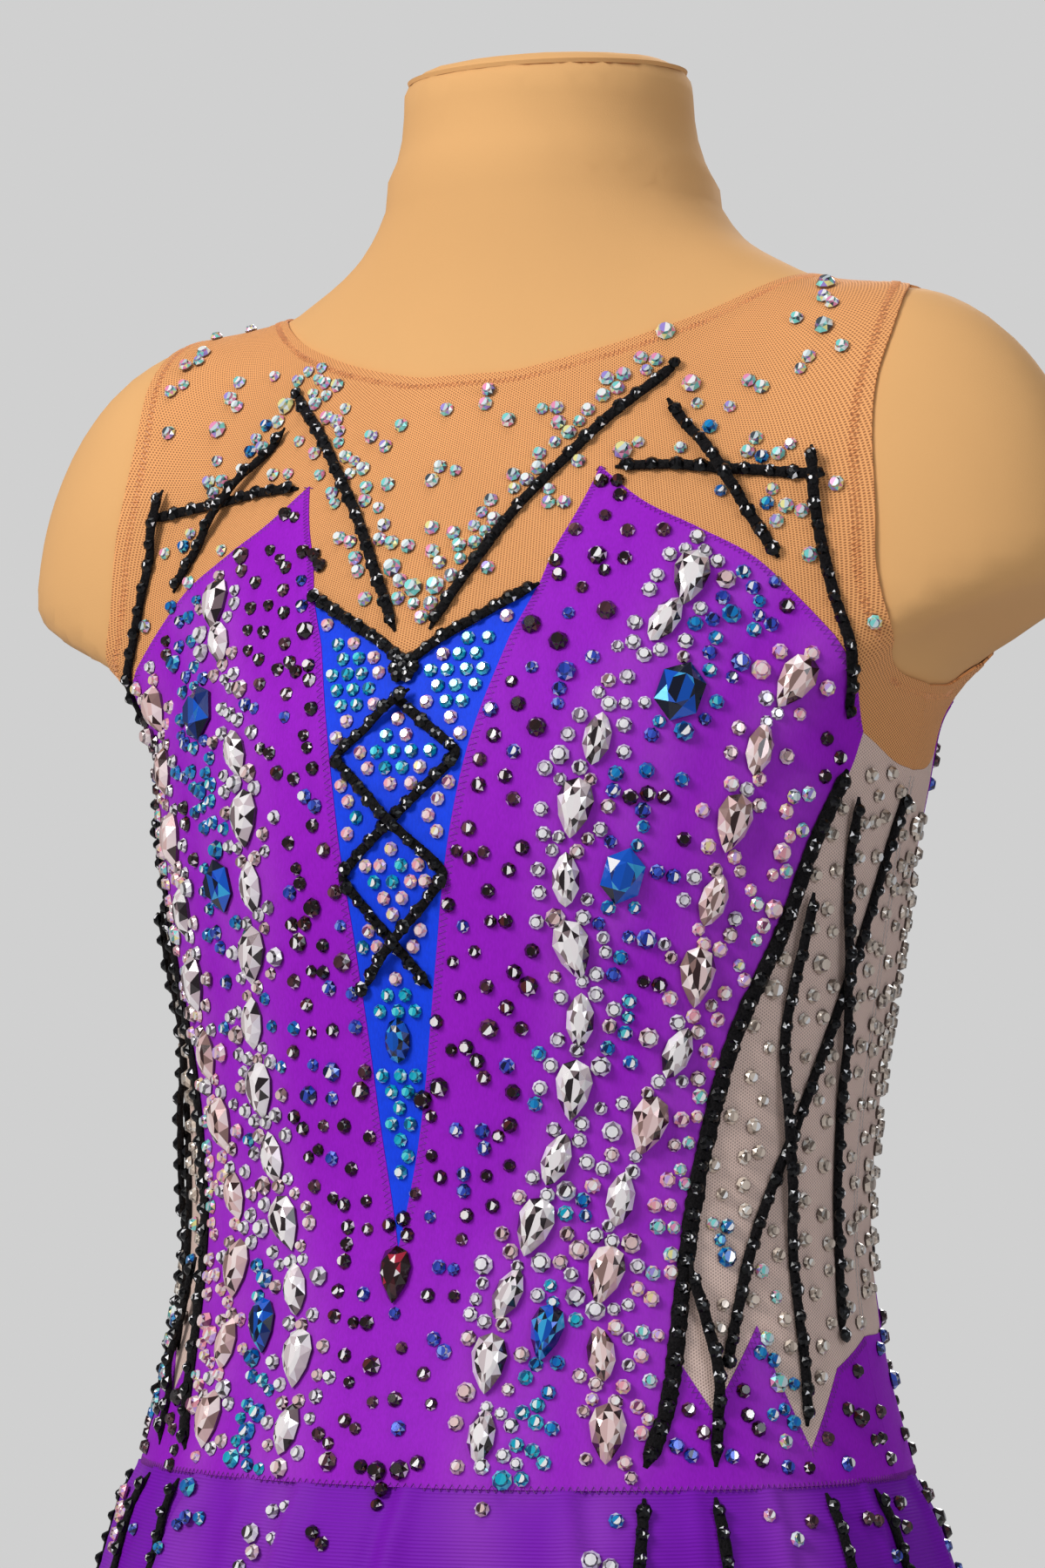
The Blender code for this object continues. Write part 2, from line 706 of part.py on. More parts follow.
def across_body(half, middle=0):
    """A loop over the centre line, from the seams of its half on the wearer's left."""
    return joined(half, mirrored(half, middle))


def beside(line, width):
    """A line moved to the right of its run by a width in the chart."""
    flat = line * [DEGREE_CM, 1]
    ahead = np.gradient(flat, axis=0)
    ahead /= np.linalg.norm(ahead, axis=1, keepdims=True)
    return (flat + width * np.stack([ahead[:, 1], -ahead[:, 0]], -1)) / [DEGREE_CM, 1]


def hem_test(lines):
    """A function that gives 1 for spots on the hems along these lines, else 0."""
    fine = np.concatenate([resampled(line, 0.1) for line in lines])

    def on_hem(spots):
        gap = np.linalg.norm((spots[:, None] - fine[None]) * [DEGREE_CM, 1], axis=2).min(1)
        return (gap < HEM_WIDTH + 0.1).astype(float)

    return on_hem


def behind(line):
    """A line of the front carried to the back, across the side seam."""
    return np.stack([180 - line[:, 0], line[:, 1]], -1)


def leotard():
    """The cut pieces. Two pieces that meet share their seam's line."""
    shoulder = straight([NECK_FRONT[-1], ARM_FRONT[0]])
    underarm = straight([ARM_FRONT[-1], MESH_TOP[0]])
    side_high = straight([MESH_TOP[0], MESH_FOOT[-1]])
    side_low = straight([MESH_FOOT[-1], Spot(90, HIP)])
    side_brief = straight([Spot(90, BRIEF_TOP), LEG_FRONT[0]])
    arm_front, mesh_top = curve(ARM_FRONT), curve(MESH_TOP)
    arm_back, mesh_top_back = behind(arm_front), behind(mesh_top)
    cup_outer, cup_inner = curve(CUP_OUTER), curve(CUP_INNER)
    wedge_top, wedge_side = curve(WEDGE_TOP, STEP_TIGHT), curve(WEDGE_SIDE)
    mesh_front, mesh_foot = curve(MESH_FRONT), straight(MESH_FOOT)
    mesh_back, yoke_low_back = curve(MESH_BACK), curve(YOKE_BACK)
    hip_front = straight([Spot(90, HIP), Spot(0, HIP)])
    hip_back = straight([Spot(90, HIP), Spot(180, HIP)])
    brief_front = straight([Spot(0, BRIEF_TOP), Spot(90, BRIEF_TOP)])
    brief_back = straight([Spot(180, BRIEF_TOP), Spot(90, BRIEF_TOP)])
    crotch_front = straight([LEG_FRONT[-1], Spot(0, CROTCH)], CROTCH_STEP)
    crotch_back = straight([LEG_BACK[-1], Spot(180, CROTCH)], CROTCH_STEP)

    neck_front, neck_back = curve(NECK_FRONT), curve(NECK_BACK)
    for name, neckline, armhole, below, middle in (
        ("yoke_front", neck_front, arm_front, joined(mesh_top, cup_outer, cup_inner, wedge_top), 0),
        ("yoke_back", neck_back[::-1], arm_back, joined(mesh_top_back, yoke_low_back), 180),
    ):
        half = joined(neckline, shoulder, armhole, underarm, below)
        hems = [neckline, armhole]
        way = 1 if middle == 0 else -1
        tucks = [beside(line, way * HEM_WIDTH) for line in hems]
        both = [line for one in hems for line in (one, mirrored(one, middle))]
        extra = np.concatenate([line for one in tucks for line in (one, mirrored(one, middle))])
        wall(name, across_body(half, middle), NET, extra=extra, hem=hem_test(both))

    side_edge = joined(side_low[::-1], mesh_foot[::-1], mesh_front[::-1])
    front = joined(hip_front[::-1], side_edge, cup_outer, cup_inner, wedge_side)
    wall("bodice_front", across_body(front), PURPLE)
    back = joined(hip_back[::-1], side_low[::-1], mesh_back[::-1], yoke_low_back)
    wall("bodice_back", across_body(back, 180), PURPLE)
    wall("centre_wedge", across_body(joined(wedge_side[::-1], wedge_top)), BLUE)
    side_front = joined(mesh_top, mesh_front, mesh_foot, side_high[::-1])
    side_back = joined(mesh_top_back, mesh_back, side_high[::-1])
    for side, loop_front, loop_back in (
        ("left", side_front, side_back),
        ("right", mirrored(side_front), mirrored(side_back)),
    ):
        wall("side_front_" + side, loop_front, GREY_NET)
        wall("side_back_" + side, loop_back, GREY_NET)
    front = joined(brief_front, side_brief, curve(LEG_FRONT), crotch_front)
    wall("brief_front", across_body(front), PURPLE, under=BRIEF_UNDER)
    back = joined(brief_back, side_brief, curve(LEG_BACK), crotch_back)
    wall("brief_back", across_body(back, 180), PURPLE, under=BRIEF_UNDER)


def skirts():
    """Two halves, joined at a seam left of the centre front and at the centre back."""
    for name, start, end in (
        ("skirt_left", SKIRT_SEAM, SKIRT_BACK_SEAM),
        ("skirt_right", SKIRT_BACK_SEAM, SKIRT_SEAM + 360),
    ):
        corners = [(start, HEM), (end, HEM), (end, SKIRT_TOP), (start, SKIRT_TOP), (start, HEM)]
        edge = straight(corners, SKIRT_STEP)
        wall(name, edge, RIBBED, skirt, SKIRT_UNDER, spacing=lambda spot: SKIRT_STEP)


def trims():
    """Black cords on the seams between colours and across the net, the same on both sides."""
    tip, low = WEDGE_TOP[0], WEDGE_TOP[-1]
    cord("cord_wedge", straight([tip, low, Spot(-tip.angle, tip.level)], CORD_STEP))
    first = cord("lacing_under", straight(LACING, LACE_STEP), LACE_WIDE, LACE_HIGH)
    cord("lacing_over", straight(LACING, LACE_STEP) * [-1, 1], LACE_WIDE, LACE_HIGH, over=first)
    for side, sign in (("left", 1), ("right", -1)):
        done = [cord("cord_edge_" + side, curve(EDGE_CORD, CORD_STEP) * [sign, 1])]
        for group, table, rest in (("spray", SPRAYS, LAID_ON_YOKE), ("web", WEBS, LAID_ON)):
            for name, spots in table.items():
                line = curve(spots, CORD_STEP) * [sign, 1]
                done.append(cord(f"{group}_{name}_{side}", line, over=np.concatenate(done), rest=rest))
    for row in STONES:
        stone(row)


def main():
    for obj in list(bpy.data.objects):
        bpy.data.objects.remove(obj, do_unlink=True)
    dress_form()
    leotard()
    skirts()
    trims()


main()
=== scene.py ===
"""The looks of a rhythmic gymnastics leotard on its dress form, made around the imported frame.

Metres, +Z up. The front faces -Y and the wearer's left is +X. The form, the chart of the garment and the
edges of its pieces are the same functions and tables as the solids are made from, with finer steps.
A place on the garment is a Spot: an angle in degrees round the body (0 centre front, 90 the wearer's
left side, 180 centre back) and a level in centimetres.
"""

import math
from collections import namedtuple

import bmesh
import bpy
import numpy as np
from mathutils import Matrix, Vector
from mathutils.geometry import delaunay_2d_cdt
from mathutils.kdtree import KDTree


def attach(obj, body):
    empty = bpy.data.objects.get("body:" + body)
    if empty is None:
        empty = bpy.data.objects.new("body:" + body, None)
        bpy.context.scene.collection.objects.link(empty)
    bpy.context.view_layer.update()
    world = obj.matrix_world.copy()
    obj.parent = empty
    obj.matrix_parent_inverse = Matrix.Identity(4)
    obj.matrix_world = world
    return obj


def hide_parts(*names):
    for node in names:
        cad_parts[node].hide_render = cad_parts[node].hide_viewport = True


CM = 0.01
MM = 0.001
RANDOM = np.random.default_rng(11)

# The camera, fitted to the photograph: angles in degrees, places in metres, the rest in its pixels
VIEW_AZIMUTH = 27.0
VIEW_PITCH = 3.9
VIEW_DISTANCE = 1.51
VIEW_HEIGHT = 0.318
VIEW_SHIFT = 0.006
VIEW_FOCAL = 5285.0
VIEW_ASIDE = 10.0
PHOTO_HIGH = 1800.0

# Light: azimuth and rise in degrees, distance and size in metres, power in watts
BACKDROP = (0.631, 0.631, 0.631)
ROOM = (0.18, 0.18, 0.188)  # what the surroundings throw on the part
LIGHT_AIM = (0, 0, 0.36)
LIGHTS = [
    ("key", -22, 32, 1.9, 0.8, 24.0, (1.0, 0.99, 0.97)),
    ("fill", 62, 18, 2.2, 1.0, 8.5, (0.84, 0.92, 1.0)),
    ("top", 20, 80, 1.8, 0.9, 6.0, (1.0, 1.0, 1.0)),
    ("back", 190, 35, 2.2, 1.0, 18.0, (1.0, 1.0, 1.0)),
]
FLOOR_RADIUS = 1.4
FLOOR_SIDES = 128
FLOOR_GAP = 0.0002
FLOOR_COLOUR = (0.62, 0.62, 0.61)

# Cloth shells, in metres
SHELL = 0.8 * MM
OUTSIDE = 2.4 * MM  # the outer face from the form
EDGE_OUTSIDE = 0.95 * MM  # the same at a free edge
HEM_RAISED = 0.22 * MM
PROUD = 0.35 * MM  # the purple pieces lie over the net's edge
SEAM_HALF = 0.05 * MM
BRIEF_OUTSIDE = 1.5 * MM
SKIRT_OUTSIDE = 4.8 * MM

# Cloth shells, in centimetres of the chart
EDGE_SINK = 1.3  # from a free edge to where the cloth has its full height
HEM_WIDTH = 0.7
TUCKS = (HEM_WIDTH - 0.04, HEM_WIDTH + 0.05)  # rows of points beside a hem's step
SKIRT_EASE = 1.6
STEP = 0.45
SKIRT_STEP = 0.22
EDGE_STEP = 0.1

# Cloth shells, as shares
ROW_SHARE = 0.87  # rows of points are this share of a step apart
CLEAR_SHARE = 0.62  # and keep this share of a step from an edge
CORNER_LEAST = 0.3  # the least spread at a sharp corner of a seam
CREASE_START, CREASE_RUN = 0.12, 0.86  # the part of half a sine that a crease's depth follows

# Thread, in metres, with its section in shares, and where its rows run, in centimetres of the chart
THREAD = 0.42 * MM
THREAD_ACROSS = np.array([-0.5, 0.0, 0.5])
THREAD_UP = np.array([-0.1, 0.7, -0.1])
ZIGZAG_PITCH = 0.2
ZIGZAG_WIDE = 0.2
HEM_STITCH = 0.34
SEAM_STITCH = 0.13
LEG_STITCH = 0.3
HIP_STITCH = 0.03
SKIRT_STITCH = 0.4
ROUND_STEP = 0.5
SIDE_WIDE = 0.06
SIDE_ANGLES = (89.2, 90.8)
SIDE_HIGH, SIDE_LOW = 42.0, 24.5
CAP_DROP = 4.5 * MM
CAP_ROLL = 1.5 * MM
CAP_POINTS = 121

# Cords
CORD_WIDE = 3.7 * MM
CORD_HIGH = 2.2 * MM
EDGE_WIDE = 5.4 * MM
LACE_WIDE = 3.4 * MM
LACE_HIGH = 1.9 * MM
CROSS_CLEAR = 0.3 * MM
CROSS_SLOPE = 12 * MM
CROSS_REACH = 1.2  # in widths of the cord, from the one below to where it starts to come down
ROPE_STEP = 0.14  # in centimetres of the chart
ROPE_SIDES = 8
ROPE_MIDDLE = 0.46  # in heights of the cord, as its tip is in widths
ROPE_TIP = 0.3
ROPE_ROUGH = 0.07
ROPE_TAPER = 5 * MM
ROPE_CLEAR = 1.6 * MM  # from a stone's rim to a cord's middle line

# Beads on the cords, and the knot of beads at the wedge's tip
BEAD_GAP = 7.5 * MM
LACE_BEAD_GAP = 6.2 * MM
BEAD_WIDTHS = (4.2 * MM, 4.7 * MM, 5.2 * MM)
BEAD_HIGH = 2.4 * MM
BEAD_RISE = 0.55  # in heights of the cord, as the knot's two are
KNOT_RISE, KNOT_MIDDLE_RISE = 0.5, 0.9
KNOT_WIDE = 3.3 * MM
KNOT_DROP = 0.1  # in centimetres of the chart

# Stones: width, length and height in millimetres
DROP_SIZE = (11.5, 19, 5)
NAVETTE_SIZE = (9, 17, 4.5)
WEDGE_SIZE = (4.7, 4.7, 2.4)
ROUND_SIZES = (4.3, 4.9, 5.2, 6.5)
ROUND_SHARE = (0.24, 0.44, 0.2, 0.12)
ROUND_RISE = 0.5  # a round stone's height, in widths
BIG_SHARE = 0.75  # the share of big stones in their drift's own look
BIG_LEAN = 9  # in degrees to each side

# How stones are laid: steps in centimetres of the chart, gaps in metres
STONE_GAP = 0.3 * MM
LOOSE_GAP = 2.6 * MM
TOUCH_GAP = 0.25 * MM
JOIN_WITHIN = 2.2 * MM
DRIFT_STEP = 0.3
DRIFT_TRIES = 5  # places tried for each stone that is wanted
ABOVE_HIP = 0.3
ZONE_TRIES = 30
PAIR_SHARE = 0.33
PAIR_GAP = 0.3 * MM
ROW_STEP = 0.5
ROW_LOW, ROW_HIGH = 27.5, 48.6
ROW_REACH = 20  # in degrees
ROW_UNEVEN = 0.12  # in degrees
ROW_UNDER_TOP = 0.35
ROW_INSIDE = 0.22
ROW_GAP = 0.15 * MM
ROSE_NEAR = 8.0 * MM  # wedge stones this near a cord are rose, most of them
ROSE_SHARE = 0.9
PALE_WIDTH = 11 * MM
PALE_MOST = 0.21

# Colours, linear
JERSEY = (0.80, 0.44, 0.175)
NET = (0.93, 0.43, 0.16)
NET_HOLE = (0.40, 0.15, 0.055)
NET_THREAD = (0.84, 0.43, 0.20)
GREY_NET = (0.90, 0.67, 0.585)
GREY_HOLE = (0.50, 0.355, 0.305)
PURPLE = (0.342, 0.008, 0.61)
LILAC = (0.56, 0.15, 0.68)
PURPLE_THREAD = (0.26, 0.02, 0.36)
DARK_THREAD = (0.16, 0.008, 0.25)
PALE_THREAD = (0.60, 0.50, 0.46)
BLUE = (0.004, 0.06, 0.90)
RIBBED = (0.205, 0.006, 0.48)
SHEEN = (0.6, 0.15, 0.8)
BLACK = (0.004, 0.0035, 0.004)
# The flock's painted sheen at the tips of its pile
PILE_TIP_SHEEN = (0.016, 0.014, 0.015)
HONEYCOMB = ((1, 0), (-0.5, 0.866), (-0.5, -0.866))
NET_PITCH = 0.088
RIB_PITCH = 0.11

# The faces' colours of each kind of stone: its own hue, with reflections, highlights and shade painted in
# as bright and dark faces.
# Its crown's colours with their shares, its table's, and its rim's, a painted shadow at the stone's foot;
# then how bright the ring round its table is, a painted darker band, and how many of its kind get a painted
# white glint on half their table
# The painted highlight: the white that half a stone's table takes, as if it mirrored the key light
PAINTED_GLINT = (1, 0.98, 0.98)
Palette = namedtuple("Palette", "crown share table rim ring glint")
PALETTES = {
    "clear": Palette(
        [(1, 0.98, 1), (0.74, 0.69, 0.76), (0.26, 0.21, 0.26), (0.04, 0.025, 0.035)],
        [0.46, 0.30, 0.13, 0.11], (0.92, 0.88, 0.93), (0.12, 0.05, 0.14),
        0.2, 0.5,
    ),
    "rose": Palette(
        [(1, 0.86, 0.86), (0.78, 0.55, 0.55), (0.30, 0.18, 0.17), (0.05, 0.02, 0.02)],
        [0.34, 0.34, 0.17, 0.15], (0.82, 0.58, 0.56), (0.14, 0.05, 0.12),
        0.35, 0.35,
    ),
    "ab": Palette(
        [
            (0.9, 1, 1), (0.22, 0.74, 0.70), (0.95, 0.32, 0.55), (0.92, 0.86, 0.35), (0.40, 0.30, 0.80),
            (0.06, 0.08, 0.10),
        ],
        [0.26, 0.26, 0.17, 0.1, 0.12, 0.09], (0.62, 0.72, 0.76), (0.16, 0.10, 0.08),
        0.55, 0.3,
    ),
    "rose_ab": Palette(
        [(1, 0.80, 0.80), (1, 0.42, 0.50), (0.95, 0.78, 0.40), (0.72, 0.48, 0.98), (0.22, 0.05, 0.14)],
        [0.34, 0.28, 0.13, 0.14, 0.11], (1, 0.68, 0.70), (0.3, 0.06, 0.2),
        0.7, 0.3,
    ),
    "aqua": Palette(
        [(0.0, 0.42, 0.60), (0.12, 0.78, 0.85), (0.0, 0.12, 0.26), (0.85, 1, 1)],
        [0.42, 0.24, 0.24, 0.1], (0.02, 0.50, 0.66), (0.0, 0.05, 0.2),
        0.45, 0.45,
    ),
    "zircon": Palette(
        [(0.0, 0.13, 0.50), (0.01, 0.30, 0.68), (0.10, 0.66, 0.72), (0.0, 0.02, 0.10), (0.85, 0.95, 1)],
        [0.34, 0.26, 0.13, 0.2, 0.07], (0.0, 0.20, 0.55), (0.0, 0.01, 0.07),
        0.5, 0.45,
    ),
    "sapphire": Palette(
        [(0.01, 0.04, 0.36), (0.05, 0.13, 0.72), (0.22, 0.36, 0.92), (0.0, 0.005, 0.05), (0.9, 0.92, 1)],
        [0.36, 0.24, 0.11, 0.22, 0.07], (0.03, 0.07, 0.5), (0.0, 0.0, 0.04),
        0.6, 0.4,
    ),
    "dark": Palette(
        [(0.006, 0.001, 0.002), (0.02, 0.003, 0.004), (0.10, 0.015, 0.015), (1, 0.9, 0.9)],
        [0.60, 0.23, 0.09, 0.08], (0.012, 0.002, 0.002), (0.003, 0.0, 0.001),
        0.8, 0.4,
    ),
    "plum": Palette(
        [(0.06, 0.018, 0.026), (0.18, 0.07, 0.08), (0.02, 0.003, 0.008), (1, 0.85, 0.88)],
        [0.42, 0.22, 0.28, 0.08], (0.08, 0.025, 0.035), (0.01, 0.0, 0.006),
        0.7, 0.3,
    ),
    "mirror": Palette(
        [(1, 0.95, 0.95), (0.70, 0.59, 0.61), (0.22, 0.16, 0.17), (0.02, 0.012, 0.015)],
        [0.42, 0.22, 0.16, 0.20], (1, 0.93, 0.94), (0.08, 0.04, 0.08),
        1.0, 0.0,
    ),
    "blush": Palette(
        [(1, 0.84, 0.82), (0.78, 0.52, 0.50), (0.30, 0.18, 0.16), (0.04, 0.015, 0.015)],
        [0.34, 0.3, 0.18, 0.18], (0.95, 0.70, 0.68), (0.12, 0.05, 0.09),
        1.0, 0.0,
    ),
    "smoke": Palette(
        [(0.85, 0.72, 0.60), (0.56, 0.45, 0.37), (0.20, 0.15, 0.12), (1, 0.96, 0.9)],
        [0.40, 0.32, 0.16, 0.12], (0.82, 0.68, 0.57), (0.07, 0.05, 0.04),
        0.5, 0.3,
    ),
    "jet": Palette(
        [(0.002, 0.002, 0.0025), (0.012, 0.012, 0.014), (0.85, 0.85, 0.88)],
        [0.70, 0.26, 0.04], (0.012, 0.012, 0.014), (0.001, 0.001, 0.001),
        1.0, 0.35,
    ),
    "ruby": Palette(
        [(0.015, 0.001, 0.002), (0.06, 0.003, 0.007), (0.45, 0.015, 0.045), (0.95, 0.9, 0.9)],
        [0.56, 0.24, 0.12, 0.08], (0.02, 0.001, 0.003), (0.006, 0.0, 0.0),
        1.0, 0.0,
    ),
    "navy": Palette(
        [(0.0, 0.02, 0.16), (0.0, 0.10, 0.62), (0.04, 0.42, 0.80), (0.0, 0.003, 0.02)],
        [0.28, 0.28, 0.14, 0.3], (0.0, 0.08, 0.46), (0.0, 0.002, 0.02),
        1.0, 0.0,
    ),
}
# Each cut: its sides, then rings of share of the width, rise, and 1 where turned by half a side
CUTS = {
    "round": (8, ((0.9, 0, 0), (1, 0.3, 0), (0.78, 0.75, 1), (0.56, 1, 0))),
    "bead": (8, ((0.85, 0, 0), (1, 0.35, 0), (0.68, 0.75, 1), (0.3, 1, 0))),
    "drop": (10, ((0.92, 0, 0), (1, 0.3, 0), (0.72, 0.85, 1), (0.42, 1, 0))),
    "oval": (10, ((0.92, 0, 0), (1, 0.3, 0), (0.75, 0.8, 1), (0.45, 1, 0))),
    "navette": (10, ((0.92, 0, 0), (1, 0.3, 0), (0.7, 0.85, 1), (0.4, 1, 0))),
    "hexagon": (6, ((0.94, 0, 0), (1, 0.3, 0), (0.66, 0.75, 1), (0.5, 1, 0))),
}
Gem = namedtuple("Gem", "look shape point out width length high spin")

# The trunk: half width, half depth and middle of each level section, in centimetres
Section = namedtuple("Section", "height half_width half_depth middle")
TRUNK = [
    Section(4.0, 11.5, 8.2, 0.4),
    Section(8.0, 12.6, 9.3, 0.3),
    Section(12.0, 13.4, 10.1, 0.2),
    Section(16.0, 13.5, 10.3, 0.1),
    Section(19.5, 12.9, 9.9, 0.0),
    Section(23.5, 11.9, 8.9, 0.0),
    Section(28.0, 11.4, 8.3, 0.2),
    Section(32.0, 11.6, 8.6, 0.5),
    Section(36.0, 12.1, 9.1, 0.7),
    Section(40.0, 12.7, 9.6, 0.9),
    Section(43.0, 13.2, 9.6, 1.2),
    Section(46.0, 13.5, 9.0, 1.5),
    Section(50.0, 13.4, 7.9, 1.9),
    Section(54.0, 12.9, 6.4, 2.4),
    Section(56.5, 11.8, 5.2, 2.5),
    Section(58.5, 9.4, 4.4, 2.5),
    Section(60.0, 6.2, 4.0, 2.4),
    Section(61.5, 4.0, 3.8, 2.4),
]
TRUNK_TOP = 0.605
CROTCH_HEIGHT = 0.075
CROTCH_ROUND = 0.02

NECK_LOW = np.array([0, 0.027, 0.56])
NECK_TOP = np.array([0, 0.0175, 0.664])
NECK_RADIUS = 0.0485
NECK_ROUND = 0.009
NECK_FALL = 0.004
NECK_FILLET = 0.045

ARM_MIDDLE = np.array([0.125, 0.015, 0.484])
ARM_RADII = np.array([0.068, 0.047, 0.093])
ARM_CUT_X, ARM_CUT_Z, ARM_CUT_SLOPE = 0.129, 0.455, 0.45
ARM_ROUND = 0.009
ARM_FILLET = 0.022

THIGH_TOP = 0.14
BELOW_BASE = -0.025  # the thighs run on this far before they are cut flat at the base
THIGH_MIDDLE, THIGH_BACK = 0.075, 0.003
THIGH_HALF_WIDTH, THIGH_HALF_DEPTH = 0.047, 0.068
THIGH_SWELL_WIDE, THIGH_SWELL_DEEP = 0.004, 0.011
THIGH_FILLET = 0.022

# The chart of the garment
BAR = 0.045
LOW, HIGH = 0.15, 0.46
ARC_LOW, ARC_HIGH = 0.10, 0.13
REACH = 0.21
DEGREE_CM = 0.2  # a degree counts as this many centimetres in the chart
CHART_CM = np.array([DEGREE_CM, 1])  # turns a spot into centimetres of the chart
CROTCH = (LOW - ARC_LOW * math.pi / 2) / CM

Spot = namedtuple("Spot", "angle level")


def route(*pairs):
    """A line of the chart through spots, given as pairs."""
    return [Spot(*pair) for pair in pairs]


HIP = 19.93
BRIEF_TOP = 19.95
NECK_FRONT = route(
    (0, 59.25), (9, 59.3), (17, 59.6), (28, 60.1), (42, 60.7), (60, 61.2), (75, 61.4), (90, 61.3),
)
NECK_BACK = route((90, 61.3), (120, 60.9), (150, 60.3), (180, 60.0))
ARM_FRONT = route(
    (90, 58.2), (80, 57.3), (73, 56.1), (68.5, 54.8), (66, 53.0), (65, 50.5), (65, 48.2), (67.5, 46.3),
    (76, 45.2), (90, 44.9),
)
MESH_TOP = route((90, 42.2), (81, 42.4), (70.7, 43.2))
CUP_OUTER = route(
    (70.7, 43.2), (67, 44.5), (62, 45.7), (56, 47.8), (50, 49.8), (42, 51.3), (34, 52.7), (27, 54.7),
)
CUP_INNER = route((27, 54.7), (23.5, 52.5), (20, 50.4), (18, 48.6))
WEDGE_TOP = route((18, 48.6), (8.6, 46.6), (0, 45.2))
WEDGE_SIDE = route(
    (18, 48.6), (13.2, 45.3), (9.8, 42.5), (7.3, 39.0), (5.2, 35.0), (3.0, 30.8), (0, 27.1),
)
MESH_FRONT = route(
    (70.7, 43.2), (68.5, 41.9), (62.5, 39.8), (57.5, 37.0), (50.0, 33.8), (45.4, 30.0), (42.7, 26.4),
    (42.0, 23.6),
)
MESH_FOOT = route((42.0, 23.6), (46.5, 22.2), (56, 24.8), (64.5, 21.0), (76, 23.4), (90, 24.3))
MESH_BACK = route((109.3, 43.2), (117, 38), (121, 32), (117, 27), (108, 24.6), (90, 24.3))
YOKE_BACK = route((109.3, 43.2), (125, 46.2), (150, 47.6), (180, 48.0))
LEG_FRONT = route(
    (90, 14.2), (68, 13.4), (48, 12.2), (32, 11.0), (22, 9.8), (15.5, 8.2), (12.0, 6.5), (11.5, 4.5),
    (13.0, 2.5), (16.5, 0.8), (21, CROTCH),
)
LEG_BACK = route(
    (90, 14.2), (113, 12.6), (132, 10.8), (147, 9.0), (158, 7.2), (165.5, 5.2), (167, 2.6), (163.5, 0.8),
    (159, CROTCH),
)

# Skirt
SKIRT_TOP = 19.9
HEM = 5.0
SKIRT_SEAM = 13.5
SKIRT_BACK_SEAM = 180.0
SKIRT_FLARE = math.radians(16)
SKIRT_FALLS = 10  # soft flutes all round
FALL_DEEP = 8 * MM

# Cord trims, each on both sides of the garment
EDGE_CORD = route(
    (68.0, 42.0), (62.5, 39.8), (57.5, 37.0), (50, 33.8), (45.4, 30), (42.7, 26.4), (39.5, 22.6),
    (35.5, 20.6),
)
SPRAYS = {
    "inner": route((2.6, 46.5), (7, 49.2), (15, 53.2), (28, 57.0), (43, 59.2)),
    "middle": route((29.5, 54.6), (41, 54.4), (52, 53.6), (61, 52.4)),
    "outer": route((40.0, 57.6), (46, 54.8), (51, 51.4), (54, 49.5)),
}
WEBS = {
    "long": route((88, 41.6), (78, 36.5), (66, 31.5), (56, 27.5), (49.5, 23.6)),
    "cross": route((70.5, 41.2), (73, 36.5), (78, 31.5), (80, 27), (79, 24.4)),
    "short": route((62.5, 38.2), (60, 33.5), (64, 28.5), (66, 24), (64.5, 21.7)),
}
LACING = route((-1.6, 44.35), (9.0, 42.4), (-7.6, 38.7), (5.0, 35.2))

# The big sewn-on stones: sizes in millimetres, lean in degrees
Stone = namedtuple("Stone", "name look spot shape length width height lean")
STONES = [
    Stone("drop_centre", "ruby", Spot(0, 26.3), "drop", 18, 11, 5, 0),
    Stone("oval_wedge", "navy", Spot(0, 33.6), "oval", 14, 9, 4, 0),
    Stone("hexagon_cup_left", "navy", Spot(38, 44.2), "hexagon", 20, 16, 5, 20),
    Stone("hexagon_cup_right", "navy", Spot(-38, 44.2), "hexagon", 20, 16, 5, -20),
    Stone("hexagon_low_left", "navy", Spot(31, 38.6), "hexagon", 18, 14, 5, 15),
    Stone("hexagon_low_right", "navy", Spot(-31, 38.6), "hexagon", 18, 14, 5, -15),
    Stone("drop_hip_left", "navy", Spot(22, 24.6), "drop", 18, 10.5, 5, 12),
    Stone("drop_hip_right", "navy", Spot(-22, 24.6), "drop", 18, 10.5, 5, -12),
]

# Thin cords that only the scene has, also on both sides: on the nets, and tails over the skirt
MORE_CORDS = {
    "arm_cord": route((60.5, 53.6), (59.5, 50.5), (61.5, 46.8), (66.5, 43.6)),
    "foot_cord": route((43.5, 26.6), (47.5, 23.4), (46.0, 20.6)),
}
TAILS = {
    "tail_inner": route((35.2, 19.7), (33.0, 15.0), (31.5, 10.0), (32.5, 6.2)),
    "tail_middle": route((45.5, 19.7), (47.5, 14.5), (51.0, 9.0)),
    "tail_outer": route((66.0, 19.7), (68.5, 13.5), (73.0, 7.2)),
    "tail_side": route((80.0, 19.7), (85.0, 14.5), (91.0, 9.5)),
}

